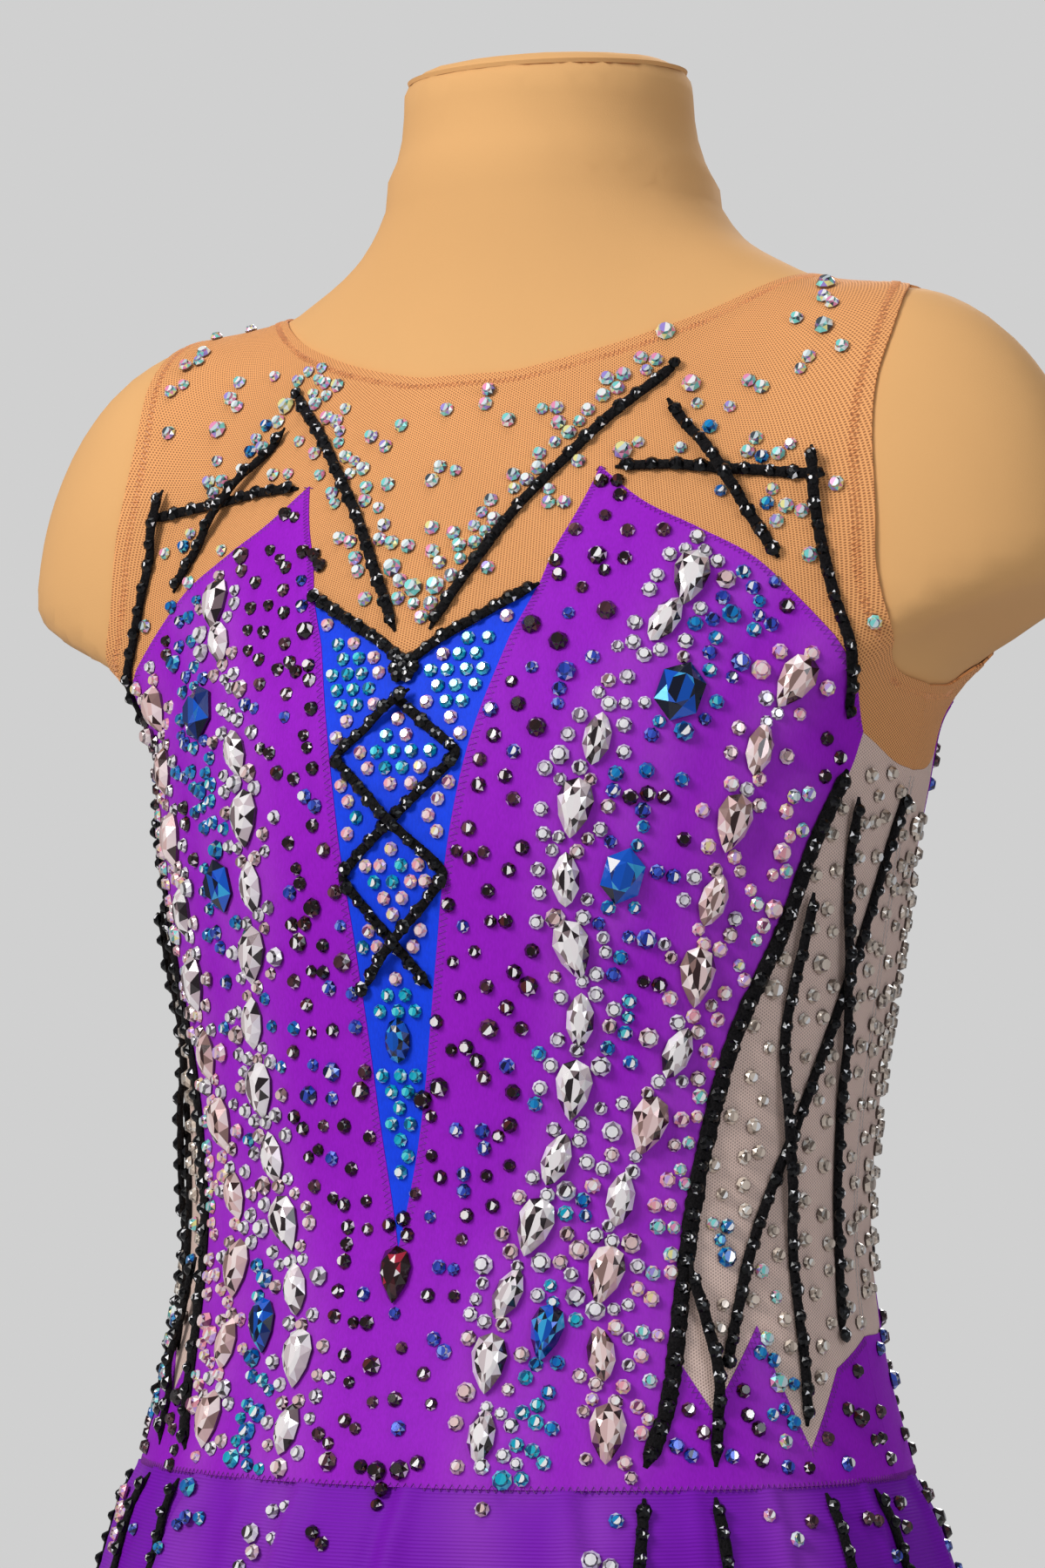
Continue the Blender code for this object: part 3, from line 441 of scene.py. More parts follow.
# Soft creases: where each runs, how wide in centimetres and how deep in millimetres
Crease = namedtuple("Crease", "start end wide deep")
CREASES = [
    Crease(Spot(72, 47.5), Spot(52, 52.5), 0.9, 0.45),
    Crease(Spot(70, 45.6), Spot(46, 49.0), 0.8, -0.35),
    Crease(Spot(-72, 46.8), Spot(-50, 51.0), 0.9, 0.4),
    Crease(Spot(60, 59.6), Spot(34, 58.2), 0.8, 0.35),
    Crease(Spot(-58, 59.9), Spot(-30, 58.0), 0.7, -0.3),
    Crease(Spot(26, 30.5), Spot(58, 28.0), 1.1, 0.5),
    Crease(Spot(-22, 31.0), Spot(-55, 29.0), 1.0, 0.45),
    Crease(Spot(14, 22.5), Spot(48, 21.4), 0.9, -0.4),
    Crease(Spot(-12, 22.0), Spot(-44, 21.2), 0.9, -0.4),
    Crease(Spot(128, 30.0), Spot(160, 28.6), 1.2, 0.55),
    Crease(Spot(232, 29.2), Spot(200, 28.0), 1.1, 0.5),
    Crease(Spot(140, 34.0), Spot(172, 33.2), 1.0, -0.4),
    Crease(Spot(112, 46.5), Spot(132, 52.0), 0.9, 0.4),
    Crease(Spot(248, 46.2), Spot(229, 51.5), 0.9, 0.4),
]
SKIRT_CREASES = [
    Crease(Spot(5.5, 21.6), Spot(1.0, 11.5), 0.30, 2.3),
    Crease(Spot(3.4, 21.4), Spot(-1.4, 13.0), 0.26, -1.5),
    Crease(Spot(-9.0, 21.6), Spot(-13.5, 13.5), 0.28, 2.1),
    Crease(Spot(-11.0, 21.4), Spot(-15.8, 14.5), 0.24, -1.4),
    Crease(Spot(-19.0, 21.4), Spot(-20.5, 16.0), 0.30, 1.4),
    Crease(Spot(-29.0, 21.6), Spot(-35.0, 11.0), 0.34, 2.1),
    Crease(Spot(-31.4, 21.4), Spot(-37.5, 12.5), 0.26, -1.3),
    Crease(Spot(-44.0, 21.4), Spot(-47.0, 15.0), 0.30, 1.5),
    Crease(Spot(24.0, 21.6), Spot(28.0, 14.0), 0.32, 1.8),
    Crease(Spot(26.2, 21.4), Spot(30.4, 15.0), 0.26, -1.1),
    Crease(Spot(42.0, 21.4), Spot(43.0, 16.0), 0.30, 1.2),
    Crease(Spot(54.0, 21.6), Spot(57.0, 14.0), 0.32, 1.7),
    Crease(Spot(-60.0, 21.6), Spot(-65.0, 12.0), 0.34, 1.9),
    Crease(Spot(-76.0, 21.4), Spot(-78.5, 16.5), 0.28, 1.2),
    Crease(Spot(76.0, 21.4), Spot(78.0, 15.5), 0.28, 1.3),
    Crease(Spot(98.0, 21.6), Spot(102.0, 11.5), 0.34, 2.1),
    Crease(Spot(121.0, 21.4), Spot(122.0, 15.0), 0.28, 1.3),
    Crease(Spot(137.0, 21.6), Spot(142.0, 12.0), 0.32, 1.9),
    Crease(Spot(139.4, 21.4), Spot(144.6, 13.5), 0.26, -1.2),
    Crease(Spot(167.0, 21.6), Spot(170.0, 10.5), 0.34, 2.1),
    Crease(Spot(186.0, 21.4), Spot(185.0, 15.0), 0.28, 1.2),
    Crease(Spot(206.0, 21.6), Spot(201.0, 12.5), 0.32, 1.9),
    Crease(Spot(208.2, 21.4), Spot(203.6, 14.0), 0.26, -1.2),
    Crease(Spot(229.0, 21.4), Spot(228.0, 14.5), 0.28, 1.4),
    Crease(Spot(246.0, 21.6), Spot(240.0, 11.0), 0.34, 2.1),
    Crease(Spot(270.0, 21.4), Spot(268.0, 15.0), 0.28, 1.3),
]

# Drifts of stones, on both sides: stones to a centimetre, spread in millimetres, and big stones along them
Drift = namedtuple("Drift", "surface looks per_cm spread big_look big_step line")
DRIFTS = [
    Drift("garment", ["clear", "clear", "rose"], 3.0, 3.6, "mirror", 2.3, [
        (42, 49.7), (36.5, 46.8), (27, 43.0), (23, 38.5), (26, 33.8), (21, 28.5), (14.5, 24.5), (14, 20.4),
    ]),
    Drift("garment", ["rose", "clear", "rose_ab"], 2.8, 3.6, "blush", 2.5, [
        (59, 45.6), (50, 42.6), (44.5, 38.0), (40.5, 33.2), (33, 29.4), (29.5, 25.0), (31, 20.4),
    ]),
    Drift("garment", ["zircon", "sapphire", "zircon"], 2.4, 6.5, "", 0, [
        (50, 48.6), (43, 46.6), (38, 44.2), (34, 41.4), (31, 38.6), (27.5, 35.6), (25.5, 31),
    ]),
    Drift("garment", ["zircon", "zircon", "aqua"], 2.4, 4.0, "", 0, [
        (27, 29.5), (22, 26.8), (22, 24.6), (20, 22.4), (18.5, 20.4),
    ]),
    Drift("garment", ["rose_ab", "ab", "rose_ab"], 1.9, 3.0, "", 0, [
        (58.5, 41.0), (54, 37.2), (46.5, 33.4), (41.8, 29.4), (38.5, 25.4), (34, 21.4),
    ]),
    Drift("garment", ["ab"], 2.6, 5.0, "", 0, [
        (3, 47.6), (8.5, 50.8), (17, 54.2), (29, 57.6), (42, 59.6),
    ]),
    Drift("garment", ["ab"], 1.0, 4.5, "", 0, [
        (31, 55.4), (41, 55.2), (52, 54.4), (60, 53.6),
    ]),
    Drift("garment", ["ab", "ab", "zircon"], 1.2, 5.0, "", 0, [
        (41, 58.6), (47, 56.4), (52.5, 52.6), (56, 49.8),
    ]),
    Drift("garment", ["ab", "zircon"], 2.0, 4.0, "", 0, [
        (50, 28.0), (56, 25.4), (60, 21.2),
    ]),
    Drift("skirt", ["clear", "rose"], 1.8, 3.4, "", 0, [
        (13.5, 19.4), (15, 15.5), (13, 11.5), (15, 8.0),
    ]),
    Drift("skirt", ["zircon", "clear"], 1.4, 3.6, "", 0, [
        (30, 19.4), (26, 15.0), (27, 11.0),
    ]),
    Drift("skirt", ["rose_ab", "ab"], 1.4, 3.0, "", 0, [
        (57, 19.4), (58, 15.0), (61, 10.5),
    ]),
    Drift("garment", ["clear", "rose"], 1.8, 3.4, "blush", 4.5, [
        (140, 46.6), (134, 41.0), (142, 35.5), (136, 29.5), (142, 24.0), (139, 20.6),
    ]),
    Drift("garment", ["zircon", "sapphire"], 1.2, 3.6, "", 0, [
        (163, 46.8), (158, 40.5), (166, 33.5), (160, 26.5), (164, 20.6),
    ]),
]

# Loose stones: how many to a square centimetre, and a loop on the wearer's left that holds them
Zone = namedtuple("Zone", "name surface looks per_cm loop")
FIELD = ["dark", "dark", "dark", "sapphire", "plum"]
ZONES = [
    Zone("yoke", "garment", ["ab"], 0.16, [
        (0, 58.3), (17, 58.7), (42, 59.8), (75, 60.4), (88, 60.0), (86, 58.8), (76, 57.6), (66, 55.2),
        (63.5, 50.5), (65.5, 46.0), (70, 44.8), (56, 48.4), (42, 51.8), (27, 55.2), (18, 50.0), (0, 46.4),
    ]),
    Zone("bodice", "garment", FIELD, 0.62, [
        (0, 26.8), (3.6, 30.8), (8, 39), (13.6, 45), (19, 48.8), (24, 52.2), (27, 54.0), (34, 52.0),
        (50, 49.0), (62, 44.8), (69, 42.6), (61, 39.6), (49, 33.8), (42, 27), (41, 22.8), (46, 21.4),
        (56, 24.0), (64, 20.4), (0, 20.4),
    ]),
    Zone("hip_side", "garment", FIELD, 0.75, [
        (57, 24.0), (64.5, 20.4), (90, 20.4), (90, 23.8), (76, 22.8), (65, 20.5),
    ]),
    Zone("net", "garment", ["smoke"], 1.1, [
        (70, 42.5), (90, 41.6), (119, 38), (120, 32), (116, 27), (90, 24.8), (76, 24), (65, 22), (56, 25.4),
        (47, 23), (43.5, 27), (46.5, 30), (51, 33.6), (58.5, 37), (63.5, 39.8),
    ]),
    Zone("skirt", "skirt", FIELD, 0.34, [
        (0, 19.3), (180, 19.3), (180, 6.4), (0, 6.4),
    ]),
    Zone("back", "garment", FIELD, 0.36, [
        (94, 20.5), (180, 20.5), (180, 47.4), (150, 47), (125, 45.6), (111, 42.8), (122, 35), (122, 30),
        (116, 25.5), (94, 23.6),
    ]),
    Zone("yoke_back", "garment", ["ab"], 0.14, [
        (180, 48.8), (150, 48.6), (125, 47.2), (118, 50), (114, 55), (100, 58.4), (120, 59.6), (150, 59.2),
        (180, 59.0),
    ]),
]

# The fields of a cut size, in metres and square metres: stretched on to the form, or hung. No piece here is
# given one
Cut = namedtuple("Cut", "width length area")

# The grid that the form's surface is found in, in metres
FORM_CELL = 0.0075
FORM_LOW = (-0.212, -0.125, -0.05)
FORM_HIGH = (0.215, 0.135, 0.69)


def column(heights, name):
    """A column of the trunk's table at these heights, on a smooth curve through its rows."""
    z = np.array([row.height for row in TRUNK]) * CM
    value = np.array([getattr(row, name) for row in TRUNK]) * CM
    slope = np.gradient(value, z)
    h = np.clip(heights, z[0], z[-1])
    i = np.clip(np.searchsorted(z, h) - 1, 0, len(z) - 2)
    step = z[i + 1] - z[i]
    t = (h - z[i]) / step
    return (
        (2 * t**3 - 3 * t**2 + 1) * value[i]
        + (t**3 - 2 * t**2 + t) * step * slope[i]
        + (3 * t**2 - 2 * t**3) * value[i + 1]
        + (t**3 - t**2) * step * slope[i + 1]
    )


def to_ellipse(offsets, radii):
    """How far offsets lie outside an ellipse or an ellipsoid, about in metres."""
    scaled = offsets / radii
    k = np.sqrt((scaled**2).sum(-1)) + 1e-9
    return (k - 1) * k / (np.sqrt(((scaled / radii) ** 2).sum(-1)) + 1e-9)


def merged(a, b, fillet):
    """Two distances joined with a fillet."""
    h = np.clip(0.5 + 0.5 * (b - a) / fillet, 0, 1)
    return b + (a - b) * h - fillet * h * (1 - h)


def trimmed(a, b, round_edge):
    """The distance of what two shapes share, with a rounded edge."""
    return -merged(-a, -b, round_edge)


def sided(p):
    """The points, all taken to the wearer's left side."""
    q = p.copy()
    q[:, 0] = np.abs(q[:, 0])
    return q


def trunk(p):
    """How far points lie outside the trunk, about in metres."""
    z = p[:, 2]
    across = np.stack([p[:, 0], p[:, 1] - column(z, "middle")], -1)
    radii = np.stack([column(z, "half_width"), column(z, "half_depth")], -1)
    side = to_ellipse(across, radii)
    return trimmed(np.maximum(side, z - TRUNK_TOP), CROTCH_HEIGHT - z, CROTCH_ROUND)


def neck(p):
    """The same for the neck and its cap, which falls a little towards its rim."""
    axis = NECK_TOP - NECK_LOW
    length = np.linalg.norm(axis)
    axis = axis / length
    rel = p - NECK_LOW
    along = rel @ axis
    radial = np.sqrt(np.maximum((rel**2).sum(-1) - along**2, 0))
    fall = NECK_FALL * np.clip(radial / NECK_RADIUS, 0, 1.5) ** 2
    out = radial - NECK_RADIUS + NECK_ROUND
    up = along - length + fall + NECK_ROUND
    corner = np.hypot(np.maximum(out, 0), np.maximum(up, 0))
    return np.maximum(corner + np.minimum(np.maximum(out, up), 0) - NECK_ROUND, -along)


def arm(p):
    """The same for the two arm ends, each cut on a slope."""
    q = sided(p)
    cut = ARM_CUT_Z + ARM_CUT_SLOPE * (q[:, 0] - ARM_CUT_X) - q[:, 2]
    return trimmed(to_ellipse(q - ARM_MIDDLE, ARM_RADII), cut / math.hypot(1, ARM_CUT_SLOPE), ARM_ROUND)


def thigh(p):
    """The same for the two leg ends."""
    q = sided(p)
    z = np.clip(q[:, 2], BELOW_BASE, THIGH_TOP)
    swell = np.sin(math.pi * np.maximum(z, 0) / THIGH_TOP)
    wide = THIGH_HALF_WIDTH + THIGH_SWELL_WIDE * swell
    deep = THIGH_HALF_DEPTH + THIGH_SWELL_DEEP * swell
    across = np.stack([q[:, 0] - THIGH_MIDDLE, q[:, 1] - THIGH_BACK], -1)
    ends = np.maximum(q[:, 2] - THIGH_TOP, BELOW_BASE - q[:, 2])
    return np.maximum(to_ellipse(across, np.stack([wide, deep], -1)), ends)


def body(p):
    """How far points lie outside the form, about in metres."""
    d = merged(trunk(p), thigh(p), THIGH_FILLET)
    d = merged(d, arm(p), ARM_FILLET)
    return merged(d, neck(p), NECK_FILLET)


def unit(v):
    """Vectors at length 1."""
    return v / np.linalg.norm(v, axis=-1, keepdims=True)


def facing(p, e=0.5 * MM):
    """The form's outward direction at points on or near it."""
    g = np.stack([body(p + e * d) - body(p - e * d) for d in np.eye(3)], -1)
    return g / np.maximum(np.linalg.norm(g, axis=-1, keepdims=True), 1e-9)


def on_body(spots):
    """The points on the form at spots, each found along a ray from a short bar in the trunk."""
    a = np.radians(spots[:, 0])
    level = spots[:, 1] * CM
    tilt = np.maximum(level - HIGH, 0) / ARC_HIGH - np.maximum(LOW - level, 0) / ARC_LOW
    z = np.clip(level, LOW, HIGH)
    start = np.stack([BAR * np.sin(a), column(z, "middle"), z], -1)
    way = np.stack([np.sin(a) * np.cos(tilt), -np.cos(a) * np.cos(tilt), np.sin(tilt)], -1)
    marks = np.linspace(0.01, REACH, 60)
    low = np.full(len(a), marks[0])
    high = np.full(len(a), REACH)
    still_inside = np.ones(len(a), bool)
    for near, far in zip(marks[:-1], marks[1:]):
        out = still_inside & (body(start + way * far) > 0)
        low[out], high[out] = near, far
        still_inside &= ~out
    for _ in range(24):
        middle = (low + high) / 2
        inside = body(start + way * middle[:, None]) < 0
        low = np.where(inside, middle, low)
        high = np.where(inside, high, middle)
    return start + way * low[:, None]


def cloth(spots):
    """Points on the form at spots and the direction that cloth is laid outward there."""
    p = on_body(spots)
    return p, facing(p)


def falls(angle):
    """The skirt's flutes, from -1 to 1, a little uneven."""
    a = np.radians(angle)
    return 0.75 * np.cos(SKIRT_FALLS * a + 0.6 * np.sin(2 * a) + 0.5) + 0.25 * np.cos(3 * a + 1.1)


def skirt(spots):
    """Points of the skirt's inside face at spots, and its outward direction."""
    top = np.stack([spots[:, 0], np.full(len(spots), SKIRT_TOP)], -1)
    p = on_body(top)
    out = unit(facing(p) * [1, 1, 0])
    drop = (SKIRT_TOP - spots[:, 1]) * CM
    share = drop / ((SKIRT_TOP - HEM) * CM)
    run = drop * math.tan(SKIRT_FLARE) + FALL_DEEP * falls(spots[:, 0]) * share**0.9
    p = p + out * run[:, None]
    p[:, 2] = spots[:, 1] * CM
    lean = np.stack([out[:, 0], out[:, 1], np.full(len(p), math.tan(SKIRT_FLARE))], -1)
    return p, unit(lean)


def run_along(points):
    """How far along a polyline each of its points is."""
    return np.concatenate([[0], np.cumsum(np.linalg.norm(np.diff(points, axis=0), axis=1))])


def resampled(points, step):
    """Points evenly along a polyline in the chart, keeping its ends."""
    along = run_along(points * CHART_CM)
    count = max(1, math.ceil(along[-1] / step))
    marks = np.linspace(0, along[-1], count + 1)
    return np.stack([np.interp(marks, along, points[:, k]) for k in range(2)], -1)


def curve(spots, step=STEP):
    """A smooth line through spots, with points a step apart."""
    p = np.array(spots, float)
    p = np.concatenate([[2 * p[0] - p[1]], p, [2 * p[-1] - p[-2]]])
    t = np.linspace(0, 1, 12, endpoint=False)[:, None]
    bits = []
    for a, b, c, d in zip(p[:-3], p[1:-2], p[2:-1], p[3:]):
        square = 2 * a - 5 * b + 4 * c - d
        cube = 3 * b - a - 3 * c + d
        bits.append(b + 0.5 * ((c - a) * t + square * t**2 + cube * t**3))
    fine = np.concatenate(bits + [p[-2:-1]])
    return resampled(fine, step)


def straight(spots, step=STEP):
    """Straight runs between spots, each with points about a step apart."""
    p = np.array(spots, float)
    runs = []
    for start, end in zip(p[:-1], p[1:]):
        runs.append(resampled(np.array([start, end]), step))
    return joined(*runs)


def joined(*lines):
    """Lines of which each starts where the one before it ends, as one."""
    return np.concatenate([lines[0]] + [line[1:] for line in lines[1:]])


def mirrored(line, middle=0):
    """The line on the other side of the centre front (0) or back (180), run the other way."""
    return np.stack([2 * middle - line[::-1, 0], line[::-1, 1]], -1)


def within(spots, loop):
    """Whether spots lie inside a closed loop of the chart."""
    inside = np.zeros(len(spots), bool)
    x, y = spots.T
    for (x0, y0), (x1, y1) in zip(loop, np.roll(loop, -1, axis=0)):
        if y0 == y1:
            continue
        cuts = (y0 > y) != (y1 > y)
        inside ^= cuts & (x < (x1 - x0) * (y - y0) / (y1 - y0) + x0)
    return inside


def in_chart(spots):
    """Spots as points for a search tree, in centimetres of the chart."""
    return [(u, v, 0) for u, v in spots * CHART_CM]


def lattice(loop, kept_clear, step):
    """Staggered rows of spots inside a loop, clear of its edge and of other spots."""
    levels = np.arange(loop[:, 1].min(), loop[:, 1].max(), step * ROW_SHARE)
    wide = step / DEGREE_CM
    angles = np.arange(loop[:, 0].min(), loop[:, 0].max(), wide)
    spots = []
    for row, level in enumerate(levels):
        spots += [(angle, level) for angle in angles + (row % 2) * wide / 2]
    spots = np.array(spots)
    spots = spots[within(spots, loop)]
    near = gap_to(in_chart(spots), search_tree(in_chart(kept_clear)))
    return spots[near > CLEAR_SHARE * step]


def drawn_in(points, out, loop_size):
    """The rim's points moved off the seam's line, into the piece."""
    rim = points[:loop_size]
    ahead = np.roll(rim, -1, axis=0) - rim
    inward = unit(np.cross(out[:loop_size], ahead))
    before = np.roll(inward, 1, axis=0)
    spread = 1 + (inward * before).sum(1, keepdims=True)
    return rim + SEAM_HALF * (inward + before) / np.maximum(spread, CORNER_LEAST)


def lift_over(points, others, clear):
    """How far a cord rises at its points to pass over other cords."""
    if others is None:
        return np.zeros(len(points))
    gap = np.linalg.norm(points[:, None] - others[None], axis=2).min(1)
    return (CORD_HIGH + CROSS_CLEAR) * (1 - eased((gap - clear) / CROSS_SLOPE))


def form_skin(cell):
    """Quads round the form: a point in each grid cell that its surface crosses."""
    axes = [np.arange(lo, hi + cell, cell) for lo, hi in zip(FORM_LOW, FORM_HIGH)]
    grid = np.stack(np.meshgrid(*axes, indexing="ij"), -1)
    value = body(grid.reshape(-1, 3)).reshape(grid.shape[:3])
    inside = value < 0
    shape = np.array(inside.shape) - 1
    total = np.zeros((*shape, 3))
    hits = np.zeros(shape)
    for axis in range(3):
        others = [k for k in range(3) if k != axis]
        for i, j in ((0, 0), (0, 1), (1, 0), (1, 1)):
            near = np.zeros(3, int)
            near[others[0]], near[others[1]] = i, j
            far = near.copy()
            far[axis] = 1
            a = tuple(slice(n, n + size) for n, size in zip(near, shape))
            b = tuple(slice(n, n + size) for n, size in zip(far, shape))
            cross = inside[a] != inside[b]
            share = np.where(cross, value[a] / np.where(cross, value[a] - value[b], 1), 0)[..., None]
            total += np.where(cross[..., None], grid[a] + share * (grid[b] - grid[a]), 0)
            hits += cross
    crossed = hits > 0
    number = np.full(shape, -1)
    number[crossed] = np.arange(crossed.sum())
    points = total[crossed] / hits[crossed][:, None]
    quads = []
    for axis in range(3):
        u, v = (axis + 1) % 3, (axis + 2) % 3
        change = -np.diff(inside.astype(int), axis=axis)
        for at in np.argwhere(change != 0):
            ring = []
            for du, dv in ((1, 1), (0, 1), (0, 0), (1, 0)):
                cell_at = at.copy()
                cell_at[u] -= du
                cell_at[v] -= dv
                ring.append(int(number[tuple(cell_at)]))
            quads.append(ring if change[tuple(at)] > 0 else ring[::-1])
    return points, quads


def settled(points, rounds=6):
    """Points moved onto the form's surface."""
    for _ in range(rounds):
        points = points - facing(points) * body(points)[:, None]
    return points


def across_body(half, middle=0):
    """A loop over the centre line, from the seams of its half on the wearer's left."""
    return joined(half, mirrored(half, middle))


def beside(line, width):
    """A line moved to the right of its run by a width in the chart."""
    flat = line * CHART_CM
    ahead = unit(np.gradient(flat, axis=0))
    return (flat + width * np.stack([ahead[:, 1], -ahead[:, 0]], -1)) / CHART_CM


def behind(line):
    """A line of the front carried to the back, across the side seam."""
    return np.stack([180 - line[:, 0], line[:, 1]], -1)


def at(spots, surface="garment"):
    """The outer face of the cloth at spots, and its outward direction."""
    if surface == "skirt":
        base, out = skirt(spots)
        return base + out * skirt_height(spots)[:, None], out
    base, out = cloth(spots)
    return base + out * height(spots)[:, None], out


def search_tree(points):
    """A search tree of points."""
    tree = KDTree(len(points))
    for i, p in enumerate(points):
        tree.insert(p, i)
    tree.balance()
    return tree


def gap_to(points, tree):
    """How far each point is from the nearest in a search tree."""
    return np.array([tree.find(p)[2] for p in points])


def eased(t):
    """A soft step from 0 to 1."""
    t = np.clip(t, 0, 1)
    return t * t * (3 - 2 * t)


def to_line(spots, line):
    """How far spots are from a polyline of the chart, in centimetres, and how far along it, from 0 to 1."""
    p = spots * CHART_CM
    q = np.array(line, float) * CHART_CM
    best = np.full(len(p), 1e9)
    along = np.zeros(len(p))
    for i, (a, b) in enumerate(zip(q[:-1], q[1:])):
        t = np.clip(((p - a) @ (b - a)) / max(((b - a) ** 2).sum(), 1e-9), 0, 1)
        gap = np.linalg.norm(p - a - t[:, None] * (b - a), axis=1)
        near = gap < best
        best[near] = gap[near]
        along[near] = (i + t[near]) / (len(q) - 1)
    return best, along


def creased(spots, rows):
    """Soft troughs and ridges along the rows of a table."""
    total = np.zeros(len(spots))
    for row in rows:
        turned = (spots[:, 0] - row.start.angle + 180) % 360 - 180 + row.start.angle
        gap, along = to_line(np.stack([turned, spots[:, 1]], -1), [row.start, row.end])
        ends = np.sin(math.pi * np.clip(CREASE_START + CREASE_RUN * along, 0, 1))
        total += row.deep * MM * ends * np.exp(-((gap / row.wide) ** 2))
    return total


def free_edges():
    """The edges that lie on the bare form: neckline, armholes and leg openings."""
    front = [curve(NECK_FRONT), curve(ARM_FRONT), curve(LEG_FRONT)]
    back = [curve(NECK_BACK), behind(curve(ARM_FRONT)), curve(LEG_BACK)]
    return front + [mirrored(line) for line in front] + back + [mirrored(line, 180) for line in back]


def chart_tree(lines):
    """A search tree of lines of the chart, with copies a whole turn each way."""
    fine = np.concatenate([resampled(line, EDGE_STEP) for line in lines]) * CHART_CM
    copies = [fine + [turn * DEGREE_CM, 0] for turn in (-360, 0, 360)]
    return search_tree([(u, v, 0) for u, v in np.concatenate(copies)])


def height(spots, proud=0.0):
    """The outer face's distance from the form: less at a free edge, more on its turned hem."""
    gap = gap_to(in_chart(spots), EDGES)
    sink = (OUTSIDE - EDGE_OUTSIDE) * (1 - eased(gap / EDGE_SINK))
    hem = HEM_RAISED * (gap < HEM_WIDTH)
    return OUTSIDE + proud * eased(gap / HEM_WIDTH) - sink + hem + creased(spots, CREASES)


def skirt_height(spots):
    """The same for the skirt: its outer face's distance from where its solid's inside lies."""
    drop = eased((SKIRT_TOP - spots[:, 1]) / SKIRT_EASE)
    return OUTSIDE + (SKIRT_OUTSIDE - OUTSIDE) * drop + creased(spots, SKIRT_CREASES)


def piece(name, mesh, look, replaced=()):
    """A finished piece of the part, riding on its only body."""
    mesh.materials.append(LOOKS[look])
    made = bpy.data.objects.new(name, mesh)
    bpy.context.scene.collection.objects.link(made)
    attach(made, "root")
    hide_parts(*replaced)
    return made


def smooth(mesh, sharp_above):
    """Smooth shading, but for edges that turn by more than this many degrees."""
    mesh.shade_smooth()
    mesh.set_sharp_from_angle(angle=math.radians(sharp_above))


def mesh_of(name, points, faces, sharp_above=50):
    """A mesh from points and faces, with flat faces where sharp_above is 0."""
    mesh = bpy.data.meshes.new(name)
    mesh.from_pydata(np.asarray(points).tolist(), [], [list(map(int, f)) for f in faces])
    if sharp_above:
        smooth(mesh, sharp_above)
    return mesh


def twice_area(loop):
    """Twice the area in a closed loop, less than 0 where it runs clockwise."""
    return (loop[:, 0] * np.roll(loop[:, 1], -1) - np.roll(loop[:, 0], -1) * loop[:, 1]).sum()


def shell(node, loop, look, surface="garment", proud=0.0, low=None, extra=None, step=STEP):
    """A cut piece of cloth as a thin shell, finer than its solid, with chart coordinates in centimetres."""
    loop = loop[:-1] if np.allclose(loop[0], loop[-1]) else loop
    if twice_area(loop) < 0:
        loop = loop[::-1]
    kept = loop if extra is None else np.concatenate([loop, extra[within(extra, loop)]])
    spots = np.concatenate([kept, lattice(loop, kept, step)])
    flat = spots * CHART_CM
    size = len(loop)
    ring = [(i, (i + 1) % size) for i in range(size)]
    made = delaunay_2d_cdt([Vector(s) for s in flat.tolist()], ring, [], 1, 1e-5)
    source = [origins[0] for origins in made[3]]
    triangles = [[source[i] for i in face] for face in made[2]]
    if surface == "skirt":
        base, out = skirt(spots)
        rise = skirt_height(spots)
    else:
        base, out = cloth(spots)
        base[:size] = drawn_in(base, out, size)
        rise = height(spots, proud)
    if low is not None:
        rise = np.minimum(rise, low)
    outer = base + out * rise[:, None]
    inner = base + out * (rise - SHELL)[:, None]
    count = len(spots)
    faces = triangles + [[i + count for i in reversed(f)] for f in triangles]
    for i, j in ring:
        faces.append([i, i + count, j])
        faces.append([j, i + count, j + count])
    mesh = mesh_of(node + "_cloth", np.concatenate([outer, inner]), faces)
    chart = mesh.uv_layers.new(name="chart")
    corner = np.zeros(len(mesh.loops), int)
    mesh.loops.foreach_get("vertex_index", corner)
    chart.data.foreach_set("uv", np.concatenate([flat, flat])[corner].ravel().astype(np.float32))
    pale = mesh.attributes.new("pale", "FLOAT", "POINT")
    glow = PALE_MOST * np.exp(-((gap_to(outer, DRIFT_TREE) / PALE_WIDTH) ** 2))
    pale.data.foreach_set("value", np.concatenate([glow, glow]).astype(np.float32))
    piece(node + "_cloth", mesh, look, [node])


def smoothed(points, rounds=4):
    """A line with its small bends evened out."""
    p = points.copy()
    for _ in range(rounds):
        p[1:-1] = 0.25 * p[:-2] + 0.5 * p[1:-1] + 0.25 * p[2:]
    return p


def tube(points, out, across, up, rough=0.0, taper=0.0):
    """Points and faces of a closed strip whose section has these places across and up from the line."""
    ahead = unit(np.gradient(points, axis=0))
    side = unit(np.cross(ahead, out))
    count, sides = len(points), len(across)
    grow = 1 + rough * RANDOM.normal(size=(count, sides))
    if taper:
        run = run_along(points)
        grow *= ROPE_TIP + (1 - ROPE_TIP) * eased(np.minimum(run, run[-1] - run) / taper)[:, None]
    ring = points[:, None] + side[:, None] * (across * grow)[..., None]
    ring += out[:, None] * (up * grow)[..., None]
    faces = []
    for i in range(count - 1):
        for k in range(sides):
            a, b = i * sides + k, i * sides + (k + 1) % sides
            faces.append([a, b, b + sides, a + sides])
    last = (count - 1) * sides
    faces.append(list(reversed(range(sides))))
    faces.append([last + k for k in range(sides)])
    return ring.reshape(-1, 3), faces


